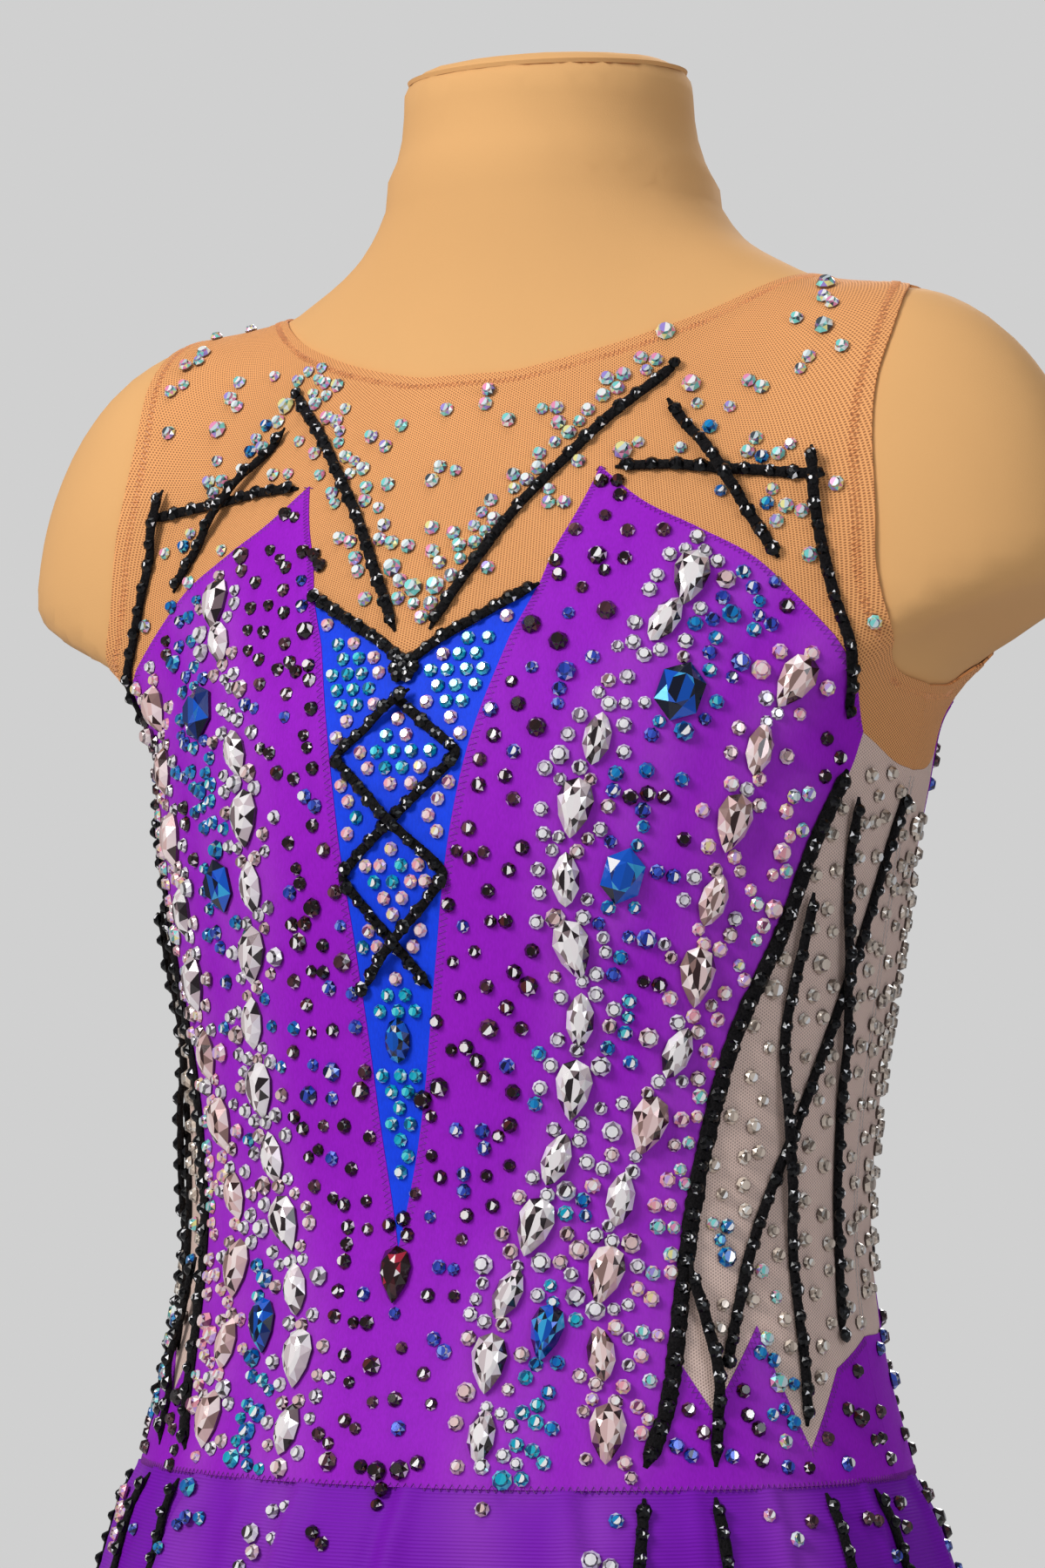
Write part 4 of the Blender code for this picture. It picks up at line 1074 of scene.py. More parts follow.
def zigzag(name, lines, look, surface="garment", wide=ZIGZAG_WIDE, level=0.0):
    """Rows of zigzag stitches along lines of the chart, as one mesh of thread, its level in millimetres."""
    points, faces, count = [], [], 0
    for line in lines:
        middle = resampled(line, ZIGZAG_PITCH / 2)
        edges = [beside(middle, side * wide / 2) for side in (-1, 1)]
        swing = np.where(np.arange(len(middle))[:, None] % 2, edges[0], edges[1])
        base, out = at(swing, surface)
        ring, quads = tube(base + out * (level * MM), out, THREAD * THREAD_ACROSS, THREAD * THREAD_UP)
        points.append(ring)
        faces += [[i + count for i in quad] for quad in quads]
        count += len(ring)
    piece(name, mesh_of(name, np.concatenate(points), faces), look)


def bead(point, out, rise, width):
    """Notes a bead for later, this far above a cord's underside."""
    BEADS.append(Gem("jet", "bead", point + out * rise, out, width, width, BEAD_HIGH, 0))


def rope(
    name, line, replaced=(), wide=CORD_WIDE, high=CORD_HIGH, over=None, surface="garment", bead_gap=BEAD_GAP
):
    """A velvety cord sewn along a line of the chart, with beads on it. Returns its middle line."""
    base, out = at(resampled(line, ROPE_STEP), surface)
    base = smoothed(base)
    middle = base + out * lift_over(base, over, CROSS_REACH * wide)[:, None]
    turn = np.arange(ROPE_SIDES) * 2 * math.pi / ROPE_SIDES
    across = wide / 2 * np.cos(turn)
    up = high * (ROPE_MIDDLE + 0.5 * np.sin(turn))
    ring, faces = tube(middle, -out, across, -up, ROPE_ROUGH, ROPE_TAPER)
    piece(name, mesh_of(name, ring, faces, 80), "cord", replaced)
    run = run_along(middle)
    for mark in np.arange(bead_gap / 2, run[-1], bead_gap):
        i = min(int(np.searchsorted(run, mark)), len(run) - 1)
        bead(middle[i], out[i], BEAD_RISE * high, float(RANDOM.choice(BEAD_WIDTHS)))
    ROPES.append(base)
    return base


def outline(shape, sides):
    """The unit outline of a stone, its half width and half length both 1, with its tip down."""
    t = np.arange(sides) * 2 * math.pi / sides
    x, y = np.sin(t), np.cos(t)
    if shape == "drop":
        x = x * np.abs(np.cos(t / 2)) ** 0.75
        x = x / np.abs(x).max()
    if shape == "navette":
        x = np.sign(x) * np.abs(x) ** 1.5
    return np.stack([x, y], -1)


def cut_stone(shape):
    """A stone's unit points, its faces and their kinds: 0 back, 1 rim, 2 crown, 3 ring, 4 and 5 table, 4
    the half that may get a painted glint.
    """
    sides, rings = CUTS[shape]
    points, faces, kinds = [], [list(range(sides))], [0]
    for share, rise, turned in rings:
        ring = outline(shape, sides)
        if turned:
            ring = (ring + np.roll(ring, -1, axis=0)) / 2
        points.append(np.column_stack([ring * share, np.full(sides, rise)]))
    for level in range(len(rings) - 1):
        turned = rings[level + 1][2] - rings[level][2]
        for k in range(sides):
            a, b = level * sides + k, level * sides + (k + 1) % sides
            c, d = a + sides, b + sides
            if turned == 0:
                split = [[a, c, d, b]]
            elif turned > 0:
                split = [[a, c, b], [b, c, d]]
            else:
                split = [[a, c, d], [a, d, b]]
            faces += split
            kinds += [level + 1] * len(split)
    top = (len(rings) - 1) * sides
    half = sides // 2
    faces.append([top + k for k in range(half, -1, -1)])
    faces.append([top] + [top + k for k in range(sides - 1, half - 1, -1)])
    kinds += [4, 5]
    return np.concatenate(points), faces, kinds


def stones(name, gems, replaced=(), look="crystal"):
    """Many cut stones as one mesh, each face with its own shade of its stone's colours: painted
    reflections, highlights and shade on the stone's own hue.
    """
    cuts = {shape: cut_stone(shape) for shape in {gem.shape for gem in gems}}
    points, faces, shades, count = [], [], [], 0
    for gem in gems:
        unit_points, cut_faces, kinds = cuts[gem.shape]
        up = np.array([0, 0, 1]) - gem.out * gem.out[2]
        up /= max(np.linalg.norm(up), 1e-6)
        right = np.cross(up, gem.out)
        turn = math.radians(gem.spin)
        along = up * math.cos(turn) + right * math.sin(turn)
        across = right * math.cos(turn) - up * math.sin(turn)
        x, y, z = (unit_points * [gem.width / 2, gem.length / 2, gem.high]).T[:, :, None]
        points.append(gem.point + x * across + y * along + z * gem.out)
        palette = PALETTES[gem.look]
        pick = RANDOM.choice(len(palette.crown), size=len(kinds), p=palette.share)
        # A painted glint: half the table white, on the palette's share of stones
        table = PAINTED_GLINT if RANDOM.random() < palette.glint else palette.table
        for face, kind, chosen in zip(cut_faces, kinds, pick):
            faces.append([i + count for i in face])
            crown = palette.crown[chosen]
            # The ring round the table is the crown's colour painted darker, as shade
            ring = tuple(palette.ring * c for c in crown)
            shade = (palette.rim, palette.rim, crown, ring, table, crown)[kind]
            shades += [(*shade, 1)] * len(face)
        count += len(unit_points)
    mesh = mesh_of(name, np.concatenate(points), faces, 0)
    facet_light_and_colour = mesh.color_attributes.new("facet_light_and_colour", "FLOAT_COLOR", "CORNER")
    facet_light_and_colour.data.foreach_set("color", np.array(shades, np.float32).ravel())
    piece(name, mesh, look, replaced)


class Layout:
    """Stones laid on the cloth so that none overlaps another or a cord."""

    def __init__(self):
        self.places = np.zeros((0, 3))
        self.radii = np.zeros(0)
        self.gems = {}
        self.ropes = search_tree(np.concatenate(ROPES))

    def add(self, group, point, out, look, shape, size, spin=0.0, gap=STONE_GAP, clear=True):
        """Lays one stone if there is room for it."""
        width, length, high = (value * MM for value in size)
        radius = (width + length) / 4
        if len(self.radii):
            room = np.linalg.norm(self.places - point, axis=1) - self.radii - radius
            if room.min() < gap:
                return False
        if clear and self.ropes.find(point)[2] < radius + ROPE_CLEAR:
            return False
        self.places = np.concatenate([self.places, [point]])
        self.radii = np.append(self.radii, radius)
        self.gems.setdefault(group, []).append(Gem(look, shape, point, out, width, length, high, spin))
        return True

    def join(self, group, point, out, look, size):
        """Lays a round stone, moved to touch its neighbour where one is near."""
        radius = size[0] / 2 * MM
        away = point - self.places
        far = np.linalg.norm(away, axis=1)
        near = int((far - self.radii).argmin())
        if far[near] - self.radii[near] < radius + JOIN_WITHIN:
            point = self.places[near] + away[near] / far[near] * (self.radii[near] + radius + TOUCH_GAP)
        return self.add(group, point, out, look, "round", size, RANDOM.uniform(0, 45), TOUCH_GAP / 2)


def round_size():
    """The width, length and height of a round stone, drawn from those that are sold."""
    width = float(RANDOM.choice(ROUND_SIZES, p=ROUND_SHARE))
    return width, width, width * ROUND_RISE


def lay_big(layout):
    """The sewn-on stones, whose places are the solids' own, and the drops and navettes of the drifts."""
    for row in STONES:
        point, out = (v[0] for v in at(np.array([row.spot], float)))
        size = (row.width, row.length, row.height)
        layout.add("big", point, out, row.look, row.shape, size, row.lean, clear=False)
    for row in DRIFTS:
        if not row.big_look:
            continue
        for sign in (1, -1):
            line = curve(row.line, row.big_step) * [sign, 1]
            ahead = np.diff(line * CHART_CM, axis=0)
            base, out = at(line[:-1] + ahead / 2 / CHART_CM, row.surface)
            for k, (p, o, way) in enumerate(zip(base, out, ahead)):
                lean = math.degrees(math.atan2(-way[0], -way[1])) + RANDOM.uniform(-BIG_LEAN, BIG_LEAN)
                size, shape = ((DROP_SIZE, "drop"), (NAVETTE_SIZE, "navette"))[k % 2]
                look = row.big_look if RANDOM.random() < BIG_SHARE else "mirror"
                layout.add("drift", p, o, look, shape, size, lean)


def lay_drifts(layout):
    """Drifts of round stones along their lines, in clusters."""
    for row in DRIFTS:
        for sign in (1, -1):
            line = curve(row.line, DRIFT_STEP) * [sign, 1]
            wanted = int(len(line) * DRIFT_STEP * row.per_cm)
            picks = RANDOM.uniform(0, len(line) - 1.01, DRIFT_TRIES * wanted)
            low = picks.astype(int)
            spots = line[low] + (picks - low)[:, None] * (line[low + 1] - line[low])
            spots = spots + RANDOM.normal(size=spots.shape) * row.spread / 10 / CHART_CM
            if row.surface == "garment":
                spots = spots[spots[:, 1] > HIP + ABOVE_HIP]
            base, out = at(spots, row.surface)
            done = 0
            for p, o in zip(base, out):
                look = row.looks[RANDOM.integers(len(row.looks))]
                done += layout.join("drift", p, o, look, round_size())
                if done >= wanted:
                    break


def lay_scatter(layout):
    """Loose stones over each zone, alone or in twos and threes."""
    for zone in ZONES:
        area = abs(twice_area(np.array(zone.loop) * CHART_CM)) / 2
        for sign in (1, -1):
            loop = np.array(zone.loop) * [sign, 1]
            spots = RANDOM.uniform(loop.min(0), loop.max(0), size=(int(ZONE_TRIES * area * zone.per_cm), 2))
            spots = spots[within(spots, loop)]
            base, out = at(spots, zone.surface)
            done = 0
            for p, o in zip(base, out):
                if done >= area * zone.per_cm:
                    break
                look = zone.looks[RANDOM.integers(len(zone.looks))]
                size = round_size()
                if not layout.add(zone.name, p, o, look, "round", size, RANDOM.uniform(0, 45), LOOSE_GAP):
                    continue
                done += 1
                while RANDOM.random() < PAIR_SHARE:
                    aside = np.cross(o, RANDOM.normal(size=3))
                    aside /= np.linalg.norm(aside)
                    size_two = round_size()
                    p = p + aside * ((size[0] + size_two[0]) / 2 * MM + PAIR_GAP)
                    if not layout.add(zone.name, p, o, look, "round", size_two, 0, 0.0):
                        break
                    size = size_two
                    done += 1


def lay_rows(layout):
    """The wedge's packed rows: rose along the cords and edges, aqua between them."""
    side = curve(WEDGE_SIDE)
    loop = joined(side, mirrored(side))
    spots = []
    for row, level in enumerate(np.arange(ROW_LOW, ROW_HIGH, ROW_STEP)):
        shift = (row % 2) * ROW_STEP / DEGREE_CM / 2
        angles = np.arange(-ROW_REACH, ROW_REACH, ROW_STEP / DEGREE_CM) + shift
        spots += [(angle + RANDOM.normal() * ROW_UNEVEN, level) for angle in angles]
    spots = np.array(spots)
    top = np.interp(np.abs(spots[:, 0]), *zip(*reversed(WEDGE_TOP)))
    gap, _ = to_line(spots, side)
    mirror_gap, _ = to_line(spots * [-1, 1], side)
    keep = within(spots, loop) & (spots[:, 1] < top - ROW_UNDER_TOP)
    spots = spots[keep & (np.minimum(gap, mirror_gap) > ROW_INSIDE)]
    base, out = at(spots)
    lace = gap_to(base, layout.ropes)
    for p, o, near in zip(base, out, lace):
        look = "rose_ab" if near < ROSE_NEAR and RANDOM.random() < ROSE_SHARE else "aqua"
        layout.add("wedge", p, o, look, "round", WEDGE_SIZE, RANDOM.uniform(0, 45), ROW_GAP)


def fine_form():
    """The form's jersey cover, finer than its solid and cut flat at the base."""
    points, quads = form_skin(FORM_CELL)
    bm = bmesh.new()
    verts = [bm.verts.new(p) for p in settled(points)]
    for quad in quads:
        bm.faces.new([verts[i] for i in quad])
    whole = list(bm.verts) + list(bm.edges) + list(bm.faces)
    down = (0, 0, -1)
    bmesh.ops.bisect_plane(bm, geom=whole, plane_co=(0, 0, 0), plane_no=down, clear_outer=True, dist=1e-5)
    bmesh.ops.holes_fill(bm, edges=[edge for edge in bm.edges if edge.is_boundary])
    mesh = bpy.data.meshes.new("form_cover")
    bm.to_mesh(mesh)
    bm.free()
    smooth(mesh, 60)
    piece("form_cover", mesh, "jersey", ["dress_form"])


def cap_seam():
    """The rolled seam where the cover's cap meets the neck."""
    axis = unit(NECK_TOP - NECK_LOW)
    turn = np.linspace(0, 2 * math.pi, CAP_POINTS)
    right = np.array([1.0, 0, 0])
    ahead = np.cross(axis, right)
    ring = NECK_TOP - axis * CAP_DROP
    ring = ring + NECK_RADIUS * (np.outer(np.cos(turn), right) + np.outer(np.sin(turn), ahead))
    ring = settled(ring)
    points, faces = tube(ring, facing(ring), CAP_ROLL * THREAD_ACROSS, CAP_ROLL * THREAD_UP)
    piece("cap_seam", mesh_of("cap_seam", points, faces, 80), "jersey")


def camera():
    """The photograph's own view."""
    a = math.radians(VIEW_AZIMUTH)
    back = np.array([math.sin(a), -math.cos(a), 0])
    place = back * VIEW_DISTANCE + np.array([0, VIEW_SHIFT, VIEW_HEIGHT])
    right = np.array([math.cos(a), math.sin(a), 0])
    pitch = math.radians(VIEW_PITCH)
    ahead = -back * math.cos(pitch) + np.array([0, 0, 1]) * math.sin(pitch)
    up = back * math.sin(pitch) + np.array([0, 0, 1]) * math.cos(pitch)
    yaw = math.atan(VIEW_ASIDE / VIEW_FOCAL)
    turned = ahead * math.cos(yaw) - right * math.sin(yaw)
    right = right * math.cos(yaw) + ahead * math.sin(yaw)
    data = bpy.data.cameras.new("camera")
    data.lens = VIEW_FOCAL / PHOTO_HIGH * data.sensor_width
    made = bpy.data.objects.new("camera", data)
    matrix = np.eye(4)
    matrix[:3, :] = np.column_stack([right, up, -turned, place])
    made.matrix_world = Matrix(matrix.tolist())
    bpy.context.scene.collection.objects.link(made)
    bpy.context.scene.camera = made


def area_light(name, azimuth, rise, distance, size, power, colour):
    """A soft light that looks at the middle of the part. Azimuth 0 is in front."""
    a, e = math.radians(azimuth), math.radians(rise)
    way = np.array([math.sin(a) * math.cos(e), -math.cos(a) * math.cos(e), math.sin(e)])
    data = bpy.data.lights.new(name, "AREA")
    data.shape = "DISK"
    data.size = size
    data.energy = power
    data.color = colour
    made = bpy.data.objects.new(name, data)
    made.location = Vector(LIGHT_AIM) + Vector(way) * distance
    made.rotation_euler = Vector(way).to_track_quat("Z", "Y").to_euler()
    bpy.context.scene.collection.objects.link(made)


def studio():
    """An even grey surround with soft lights and a floor."""
    world = bpy.data.worlds.new("studio")
    world.use_nodes = True
    tree = world.node_tree
    seen = add(tree.nodes, "ShaderNodeLightPath").outputs["Is Camera Ray"]
    tree.links.new(blended(tree, seen, ROOM, BACKDROP), tree.nodes["Background"].inputs["Color"])
    bpy.context.scene.world = world
    bpy.context.scene.view_settings.view_transform = "Standard"
    for row in LIGHTS:
        area_light(*row)
    turn = np.arange(FLOOR_SIDES) * 2 * math.pi / FLOOR_SIDES
    rim = np.stack([np.cos(turn), np.sin(turn), np.zeros(FLOOR_SIDES)], -1) * FLOOR_RADIUS
    floor_mesh = mesh_of("floor", rim - [0, 0, FLOOR_GAP], [list(range(FLOOR_SIDES))])
    floor = bpy.data.objects.new("floor", floor_mesh)
    floor.data.materials.append(plain("floor", FLOOR_COLOUR, 0.9))
    bpy.context.scene.collection.objects.link(floor)


def add(nodes, kind, values=None, **settings):
    """A new shader node with these settings and values at its inputs."""
    node = nodes.new(kind)
    for name, value in settings.items():
        setattr(node, name, value)
    for socket, value in (values or {}).items():
        node.inputs[socket].default_value = value
    return node


def plain(name, colour, roughness, **values):
    """A material with only its shader's own values set."""
    made = bpy.data.materials.new(name)
    made.use_nodes = True
    shader = made.node_tree.nodes["Principled BSDF"]
    shader.inputs["Base Color"].default_value = (*colour, 1)
    shader.inputs["Roughness"].default_value = roughness
    for socket, value in values.items():
        shader.inputs[socket.replace("_", " ")].default_value = value
    return made


def dimmed(colour, share):
    """The same colour, darker."""
    return tuple(share * c for c in colour)


def maths(tree, operation, *values):
    """The result of a math node on values, each a number or a socket."""
    node = add(tree.nodes, "ShaderNodeMath", operation=operation)
    for number, value in enumerate(values):
        if isinstance(value, float):
            node.inputs[number].default_value = value
        else:
            tree.links.new(value, node.inputs[number])
    return node.outputs[0]


def blended(tree, factor, first, second):
    """A mix of two colours, each a value or a socket."""
    mix = add(tree.nodes, "ShaderNodeMix", data_type="RGBA")
    tree.links.new(factor, mix.inputs[0])
    for number, colour in ((6, first), (7, second)):
        if isinstance(colour, tuple):
            mix.inputs[number].default_value = (*colour, 1)
        else:
            tree.links.new(colour, mix.inputs[number])
    return mix.outputs[2]


def ramped(tree, value, low, high, to_low=0.0, to_high=1.0):
    """A value taken from one range to another, and kept inside it."""
    node = add(tree.nodes, "ShaderNodeMapRange", {1: low, 2: high, 3: to_low, 4: to_high}, clamp=True)
    tree.links.new(value, node.inputs[0])
    return node.outputs[0]


def noise(tree, scale, detail=2.0, stretch=(1, 1, 1)):
    """Noise over the part, its scale in lumps to a metre."""
    where = add(tree.nodes, "ShaderNodeTexCoord")
    mapping = add(tree.nodes, "ShaderNodeMapping", {"Scale": stretch})
    tree.links.new(where.outputs["Object"], mapping.inputs["Vector"])
    node = add(tree.nodes, "ShaderNodeTexNoise", {"Scale": scale, "Detail": detail})
    tree.links.new(mapping.outputs["Vector"], node.inputs["Vector"])
    return node.outputs["Fac"]


def waves(tree, directions, pitch):
    """The mean of cosine waves over the chart, one for each direction. The pitch is in centimetres."""
    uv = add(tree.nodes, "ShaderNodeUVMap", uv_map="chart")
    k = 2 * math.pi / pitch
    total = None
    for x, y in directions:
        dot = add(tree.nodes, "ShaderNodeVectorMath", {1: (x * k, y * k, 0)}, operation="DOT_PRODUCT")
        tree.links.new(uv.outputs[0], dot.inputs[0])
        wave = maths(tree, "COSINE", dot.outputs["Value"])
        share = maths(tree, "MULTIPLY", wave, 1 / len(directions))
        total = share if total is None else maths(tree, "ADD", total, share)
    return total


def bumped(tree, value, distance, strength=1.0):
    """Raises a material's surface where the value is high, without moving it."""
    node = add(tree.nodes, "ShaderNodeBump", {"Strength": strength, "Distance": distance})
    tree.links.new(value, node.inputs["Height"])
    tree.links.new(node.outputs[0], tree.nodes["Principled BSDF"].inputs["Normal"])


def colour_to(tree, colour):
    """Makes a socket the colour of its material."""
    tree.links.new(colour, tree.nodes["Principled BSDF"].inputs["Base Color"])


def pale_share(tree):
    """How much the cloth is paled under the drifts, from its mesh."""
    return add(tree.nodes, "ShaderNodeAttribute", attribute_name="pale").outputs["Fac"]


def net_look(name, thread, hole):
    """A fine stretch net: small round holes in a honeycomb, over whatever lies under it."""
    made = plain(name, thread, 0.75, Sheen_Weight=0.05, Specular_IOR_Level=0.2)
    tree = made.node_tree
    holes = waves(tree, HONEYCOMB, NET_PITCH)
    mask = ramped(tree, holes, -0.1, 0.5)
    mottled = blended(tree, ramped(tree, noise(tree, 14.0), 0.3, 0.7), thread, dimmed(thread, 0.93))
    colour_to(tree, blended(tree, mask, mottled, hole))
    bumped(tree, ramped(tree, mask, 0, 1, 1, 0), 0.12 * MM)
    return made


def lycra_look(name, colour, pale_colour):
    """A matte stretch knit with a soft sheen, paler where it is airbrushed under the drifts."""
    made = plain(name, colour, 0.6, Sheen_Weight=0.08, Sheen_Tint=(*SHEEN, 1), Specular_IOR_Level=0.15)
    tree = made.node_tree
    patchy = ramped(tree, noise(tree, 60.0, 4.0), 0.2, 0.7, 0.35, 1.1)
    pale = maths(tree, "MULTIPLY", pale_share(tree), patchy)
    knit = noise(tree, 1600.0, stretch=(1, 1, 0.35))
    # Darker where the knit is low: a painted shade in its hollows
    deep = blended(tree, ramped(tree, knit, 0.3, 0.7), dimmed(colour, 0.86), colour)
    colour_to(tree, blended(tree, pale, deep, pale_colour))
    bumped(tree, knit, 0.15 * MM, 0.6)
    return made


def rib_look(name, colour, pale_colour):
    """The skirt's fine ribbed stretch mesh."""
    made = plain(name, colour, 0.6, Sheen_Weight=0.06, Sheen_Tint=(*SHEEN, 1), Specular_IOR_Level=0.15)
    tree = made.node_tree
    ribs = waves(tree, ((0, 1),), RIB_PITCH)
    # Darker in the grooves between the ribs: a painted shade
    shade = blended(tree, ramped(tree, ribs, -1, 1), dimmed(colour, 0.88), colour)
    colour_to(tree, blended(tree, ramped(tree, pale_share(tree), 0, 1, 0, 0.75), shade, pale_colour))
    bumped(tree, ribs, 0.06 * MM)
    return made


def jersey_look():
    """The form's cover: a fine beige knit, a little cloudy."""
    made = plain("jersey", JERSEY, 0.85, Sheen_Weight=0.06, Specular_IOR_Level=0.15)
    tree = made.node_tree
    cloudy = ramped(tree, noise(tree, 9.0, 3.0), 0.35, 0.65)
    colour_to(tree, blended(tree, cloudy, JERSEY, dimmed(JERSEY, 0.95)))
    bumped(tree, noise(tree, 2200.0), 0.1 * MM, 0.5)
    return made


def cord_look():
    """Black flock, paler at the tips of its pile: a painted sheen."""
    made = plain("cord", BLACK, 0.95, Sheen_Weight=0.03, Specular_IOR_Level=0.1)
    tree = made.node_tree
    pile = noise(tree, 1500.0, 3.0)
    colour_to(tree, blended(tree, ramped(tree, pile, 0.35, 0.75), BLACK, PILE_TIP_SHEEN))
    bumped(tree, pile, 0.6 * MM)
    return made


def crystal_look(name, **values):
    """Cut glass: each face has its own colour, with reflections, highlights and shade painted in it, and it
    also mirrors the studio's lights.
    """
    made = plain(name, (0.8, 0.8, 0.8), 0.16, **values)
    facet_light_and_colour = add(made.node_tree.nodes, "ShaderNodeAttribute", attribute_name="facet_light_and_colour")
    colour_to(made.node_tree, facet_light_and_colour.outputs["Color"])
    return made


def thread_look(name, colour):
    """A twisted sewing thread."""
    made = plain(name, colour, 0.6, Sheen_Weight=0.3)
    tree = made.node_tree
    twist = noise(tree, 1800.0, 1.0)
    colour_to(tree, blended(tree, ramped(tree, twist, 0.3, 0.7), dimmed(colour, 0.8), colour))
    return made


def cloth_pieces():
    """Every cut piece of the leotard, its edges the same lines as its solid's."""
    shoulder = straight([NECK_FRONT[-1], ARM_FRONT[0]])
    underarm = straight([ARM_FRONT[-1], MESH_TOP[0]])
    side_high = straight([MESH_TOP[0], MESH_FOOT[-1]])
    side_low = straight([MESH_FOOT[-1], Spot(90, HIP)])
    side_brief = straight([Spot(90, BRIEF_TOP), LEG_FRONT[0]])
    arm_front, mesh_top = curve(ARM_FRONT), curve(MESH_TOP)
    arm_back, mesh_top_back = behind(arm_front), behind(mesh_top)
    cup_outer, cup_inner = curve(CUP_OUTER), curve(CUP_INNER)
    wedge_top, wedge_side = curve(WEDGE_TOP), curve(WEDGE_SIDE)
    mesh_front, mesh_foot = curve(MESH_FRONT), straight(MESH_FOOT)
    mesh_back, yoke_low_back = curve(MESH_BACK), curve(YOKE_BACK)
    hip_front = straight([Spot(90, HIP), Spot(0, HIP)])
    hip_back = straight([Spot(90, HIP), Spot(180, HIP)])
    neck_front, neck_back = curve(NECK_FRONT), curve(NECK_BACK)

    for name, neckline, armhole, below, middle in (
        ("yoke_front", neck_front, arm_front, joined(mesh_top, cup_outer, cup_inner, wedge_top), 0),
        ("yoke_back", neck_back[::-1], arm_back, joined(mesh_top_back, yoke_low_back), 180),
    ):
        half = joined(neckline, shoulder, armhole, underarm, below)
        way = 1 if middle == 0 else -1
        tucks = [beside(line, way * w) for line in (neckline, armhole) for w in TUCKS]
        extra = np.concatenate([line for tuck in tucks for line in (tuck, mirrored(tuck, middle))])
        shell(name, across_body(half, middle), "net", extra=extra)

    side_edge = joined(side_low[::-1], mesh_foot[::-1], mesh_front[::-1])
    front = joined(hip_front[::-1], side_edge, cup_outer, cup_inner, wedge_side)
    shell("bodice_front", across_body(front), "purple", proud=PROUD)
    back = joined(hip_back[::-1], side_low[::-1], mesh_back[::-1], yoke_low_back)
    shell("bodice_back", across_body(back, 180), "purple", proud=PROUD)
    wedge = joined(wedge_side[::-1], wedge_top)
    shell("centre_wedge", across_body(wedge), "blue", proud=PROUD / 2)
    side_front = joined(mesh_top, mesh_front, mesh_foot, side_high[::-1])
    side_back = joined(mesh_top_back, mesh_back, side_high[::-1])
    for side, loop_front, loop_back in (
        ("left", side_front, side_back),
        ("right", mirrored(side_front), mirrored(side_back)),
    ):
        shell("side_front_" + side, loop_front, "grey_net")
        shell("side_back_" + side, loop_back, "grey_net")

    for name, middle, leg in (("brief_front", 0, LEG_FRONT), ("brief_back", 180, LEG_BACK)):
        top = straight([Spot(middle, BRIEF_TOP), Spot(90, BRIEF_TOP)])
        half = joined(top, side_brief, curve(leg), straight([leg[-1], Spot(middle, CROTCH)]))
        shell(name, across_body(half, middle), "purple", low=BRIEF_OUTSIDE)


def skirt_pieces():
    """The two halves of the skirt."""
    for name, start, end in (
        ("skirt_left", SKIRT_SEAM, SKIRT_BACK_SEAM),
        ("skirt_right", SKIRT_BACK_SEAM, SKIRT_SEAM + 360),
    ):
        corners = [(start, HEM), (end, HEM), (end, SKIRT_TOP), (start, SKIRT_TOP), (start, HEM)]
        shell(name, straight(corners, SKIRT_STEP), "rib", surface="skirt", step=SKIRT_STEP)


def both_sides(lines):
    """Lines of the wearer's left side, and the same on the right."""
    return lines + [line * [-1, 1] for line in lines]


def all_round(level):
    """A line round the body at one level, as two half turns."""
    halves = [np.array([(start, level), (start + 180, level)], float) for start in (0, 180)]
    return [resampled(half, ROUND_STEP) for half in halves]


def stitching():
    """Stitches on the hems, along the seams between colours, round the hip and at the side seams."""
    hems = both_sides([beside(curve(line), HEM_STITCH) for line in (NECK_FRONT, ARM_FRONT)])
    back = [curve(NECK_BACK), behind(curve(ARM_FRONT))]
    for lines in (back, [mirrored(line, 180) for line in back]):
        hems += [beside(lines[0], HEM_STITCH), beside(lines[1], -HEM_STITCH)]
    zigzag("stitches_hems", hems, "net_thread", level=0.05)
    seams = [beside(curve(line), -SEAM_STITCH) for line in (CUP_OUTER, CUP_INNER, WEDGE_SIDE)]
    seams = both_sides(seams + [beside(straight(MESH_FOOT), SEAM_STITCH)])
    yoke_low = curve(YOKE_BACK)
    seams += [beside(line, SEAM_STITCH) for line in (yoke_low, mirrored(yoke_low, 180))]
    zigzag("stitches_seams", seams, "purple_thread", level=0.25)
    zigzag("stitches_hip", all_round(HIP + HIP_STITCH), "purple_thread", level=0.35)
    front, back = curve(LEG_FRONT), curve(LEG_BACK)
    legs = []
    for lines in ((front, back), (mirrored(front), mirrored(back, 180))):
        legs += [beside(lines[0], -LEG_STITCH), beside(lines[1], LEG_STITCH)]
    zigzag("stitches_legs", legs, "dark_thread")
    hem = all_round(HEM + SKIRT_STITCH)
    zigzag("stitches_skirt", hem, "dark_thread", surface="skirt", level=0.05)
    sides = [straight([Spot(angle, SIDE_HIGH), Spot(angle, SIDE_LOW)]) for angle in SIDE_ANGLES]
    zigzag("stitches_sides", both_sides(sides), "pale_thread", wide=SIDE_WIDE)


def knot(spot):
    """A knot of seven beads, which covers the bend of the wedge's cord."""
    point, out = (v[0] for v in at(np.array([spot], float)))
    right = np.cross([0, 0, 1], out)
    down = np.cross(out, right)
    turns = np.arange(6) * math.pi / 3
    around = [point + (right * math.cos(turn) + down * math.sin(turn)) * KNOT_WIDE for turn in turns]
    bead(point, out, KNOT_MIDDLE_RISE * LACE_HIGH, BEAD_WIDTHS[-1])
    for place in around:
        bead(place, out, KNOT_RISE * LACE_HIGH, BEAD_WIDTHS[-1])
    ROPES.append(np.array([point] + around))


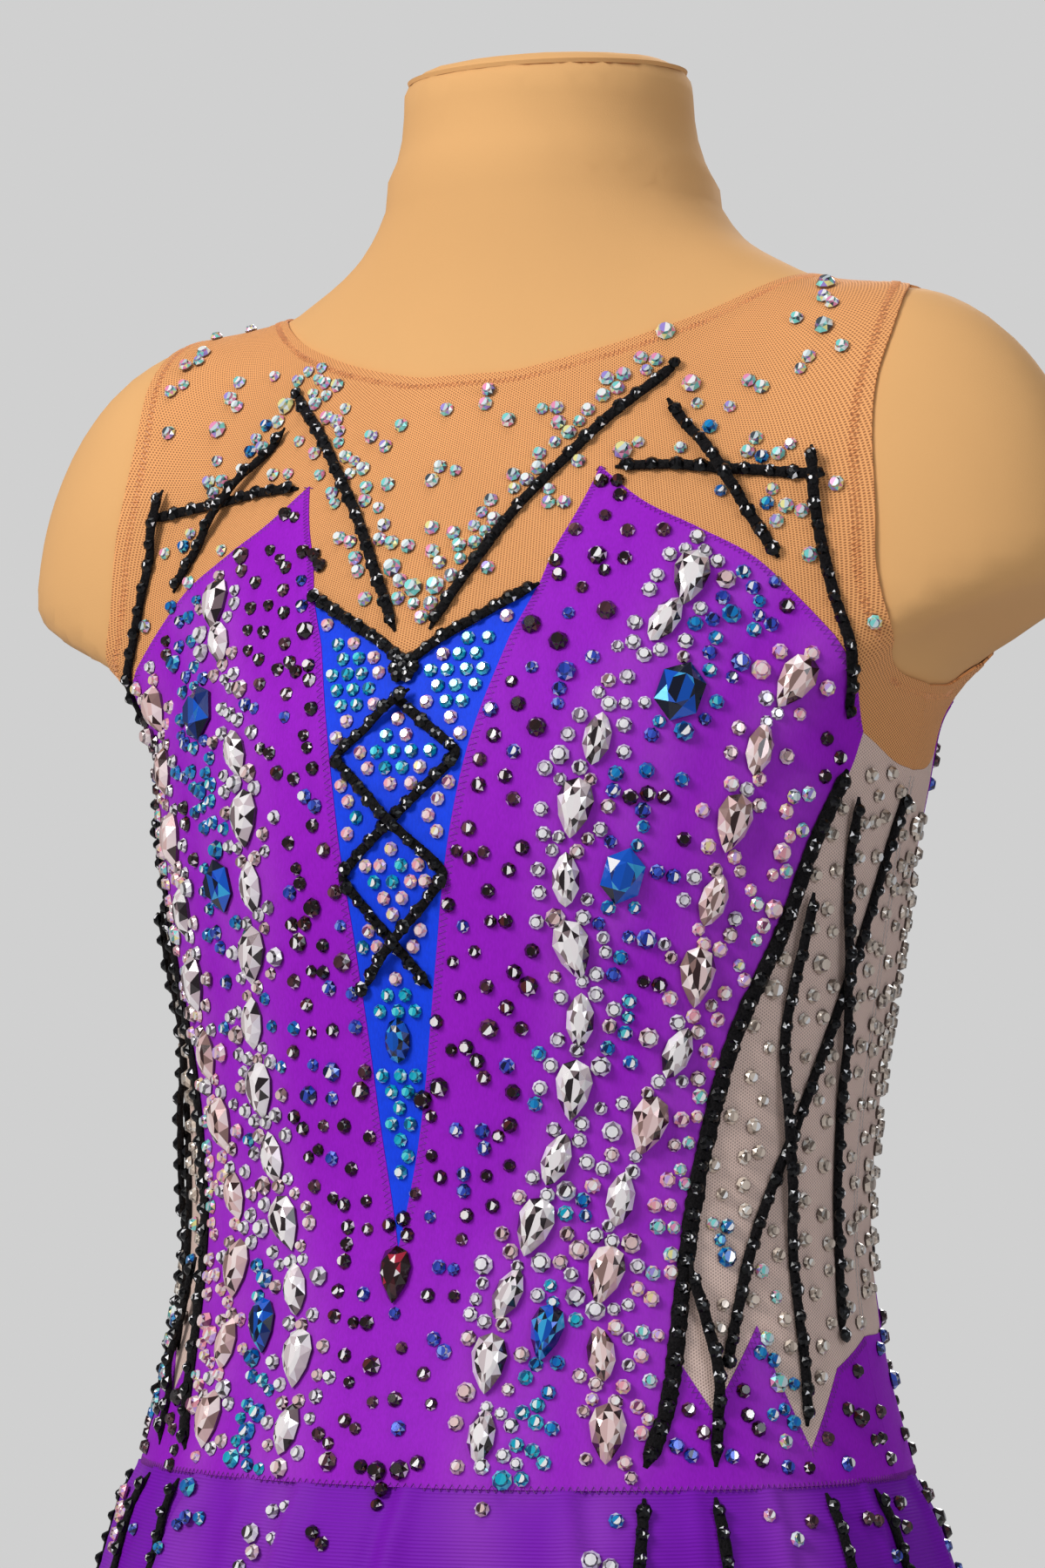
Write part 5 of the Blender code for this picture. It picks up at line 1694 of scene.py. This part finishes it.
def trims():
    """The black cords, each where its solid is, and a few more on the nets and the skirt."""
    tip, bend = WEDGE_TOP[0], WEDGE_TOP[-1]
    edge = straight([tip, bend, Spot(-tip.angle, tip.level)])
    rope("wedge_cord", edge, ["cord_wedge"], bead_gap=LACE_BEAD_GAP)
    knot(Spot(bend.angle, bend.level - KNOT_DROP))
    lace = straight(LACING)
    first = rope("lace_under", lace, ["lacing_under"], LACE_WIDE, LACE_HIGH, bead_gap=LACE_BEAD_GAP)
    lace = lace * [-1, 1]
    rope("lace_over", lace, ["lacing_over"], LACE_WIDE, LACE_HIGH, over=first, bead_gap=LACE_BEAD_GAP)
    for side, sign in (("left", 1), ("right", -1)):
        done = [rope("edge_" + side, curve(EDGE_CORD) * [sign, 1], ["cord_edge_" + side], wide=EDGE_WIDE)]
        for group, table in (("spray", SPRAYS), ("web", WEBS)):
            for name, spots in table.items():
                node = f"{group}_{name}_{side}"
                over = np.concatenate(done)
                done.append(rope(node + "_rope", curve(spots) * [sign, 1], [node], over=over))
        for name, spots in MORE_CORDS.items():
            over = np.concatenate(done)
            done.append(rope(f"{name}_{side}", curve(spots) * [sign, 1], over=over))
        for name, spots in TAILS.items():
            rope(f"{name}_{side}", curve(spots) * [sign, 1], surface="skirt")


def decorations():
    """All the stones, each group as one mesh, and the beads of the cords."""
    layout = Layout()
    lay_big(layout)
    lay_drifts(layout)
    lay_rows(layout)
    lay_scatter(layout)
    stones("sewn_stones", layout.gems.pop("big"), ["stone_" + row.name for row in STONES])
    for group, gems in layout.gems.items():
        stones("crystals_" + group, gems)
    stones("cord_beads", BEADS, look="jet")


def drift_lines():
    """The lines of all drifts on the cloth's outer face, on both sides."""
    lines = [at(curve(row.line) * [sign, 1], row.surface)[0] for row in DRIFTS for sign in (1, -1)]
    return np.concatenate(lines)


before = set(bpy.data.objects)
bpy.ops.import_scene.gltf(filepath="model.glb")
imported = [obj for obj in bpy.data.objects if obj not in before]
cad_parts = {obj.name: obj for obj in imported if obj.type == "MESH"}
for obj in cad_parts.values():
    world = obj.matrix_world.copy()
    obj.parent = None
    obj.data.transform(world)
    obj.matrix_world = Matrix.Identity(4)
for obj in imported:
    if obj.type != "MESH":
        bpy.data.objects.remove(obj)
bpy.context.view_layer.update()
LOOKS = {
    "jersey": jersey_look(),
    "net": net_look("nude_net", NET, NET_HOLE),
    "grey_net": net_look("grey_net", GREY_NET, GREY_HOLE),
    "purple": lycra_look("purple_lycra", PURPLE, LILAC),
    "blue": lycra_look("blue_lycra", BLUE, BLUE),
    "rib": rib_look("purple_rib", RIBBED, LILAC),
    "cord": cord_look(),
    "crystal": crystal_look("crystal", Metallic=0.15, Coat_Weight=0.6, Coat_Roughness=0.03),
    "jet": crystal_look("jet", Specular_IOR_Level=0.25),
    "net_thread": thread_look("net_thread", NET_THREAD),
    "purple_thread": thread_look("purple_thread", PURPLE_THREAD),
    "dark_thread": thread_look("dark_thread", DARK_THREAD),
    "pale_thread": thread_look("pale_thread", PALE_THREAD),
}
ROPES = []
BEADS = []
EDGES = chart_tree(free_edges())
DRIFT_TREE = search_tree(drift_lines())

camera()
studio()
fine_form()
cap_seam()
cloth_pieces()
skirt_pieces()
stitching()
trims()
decorations()
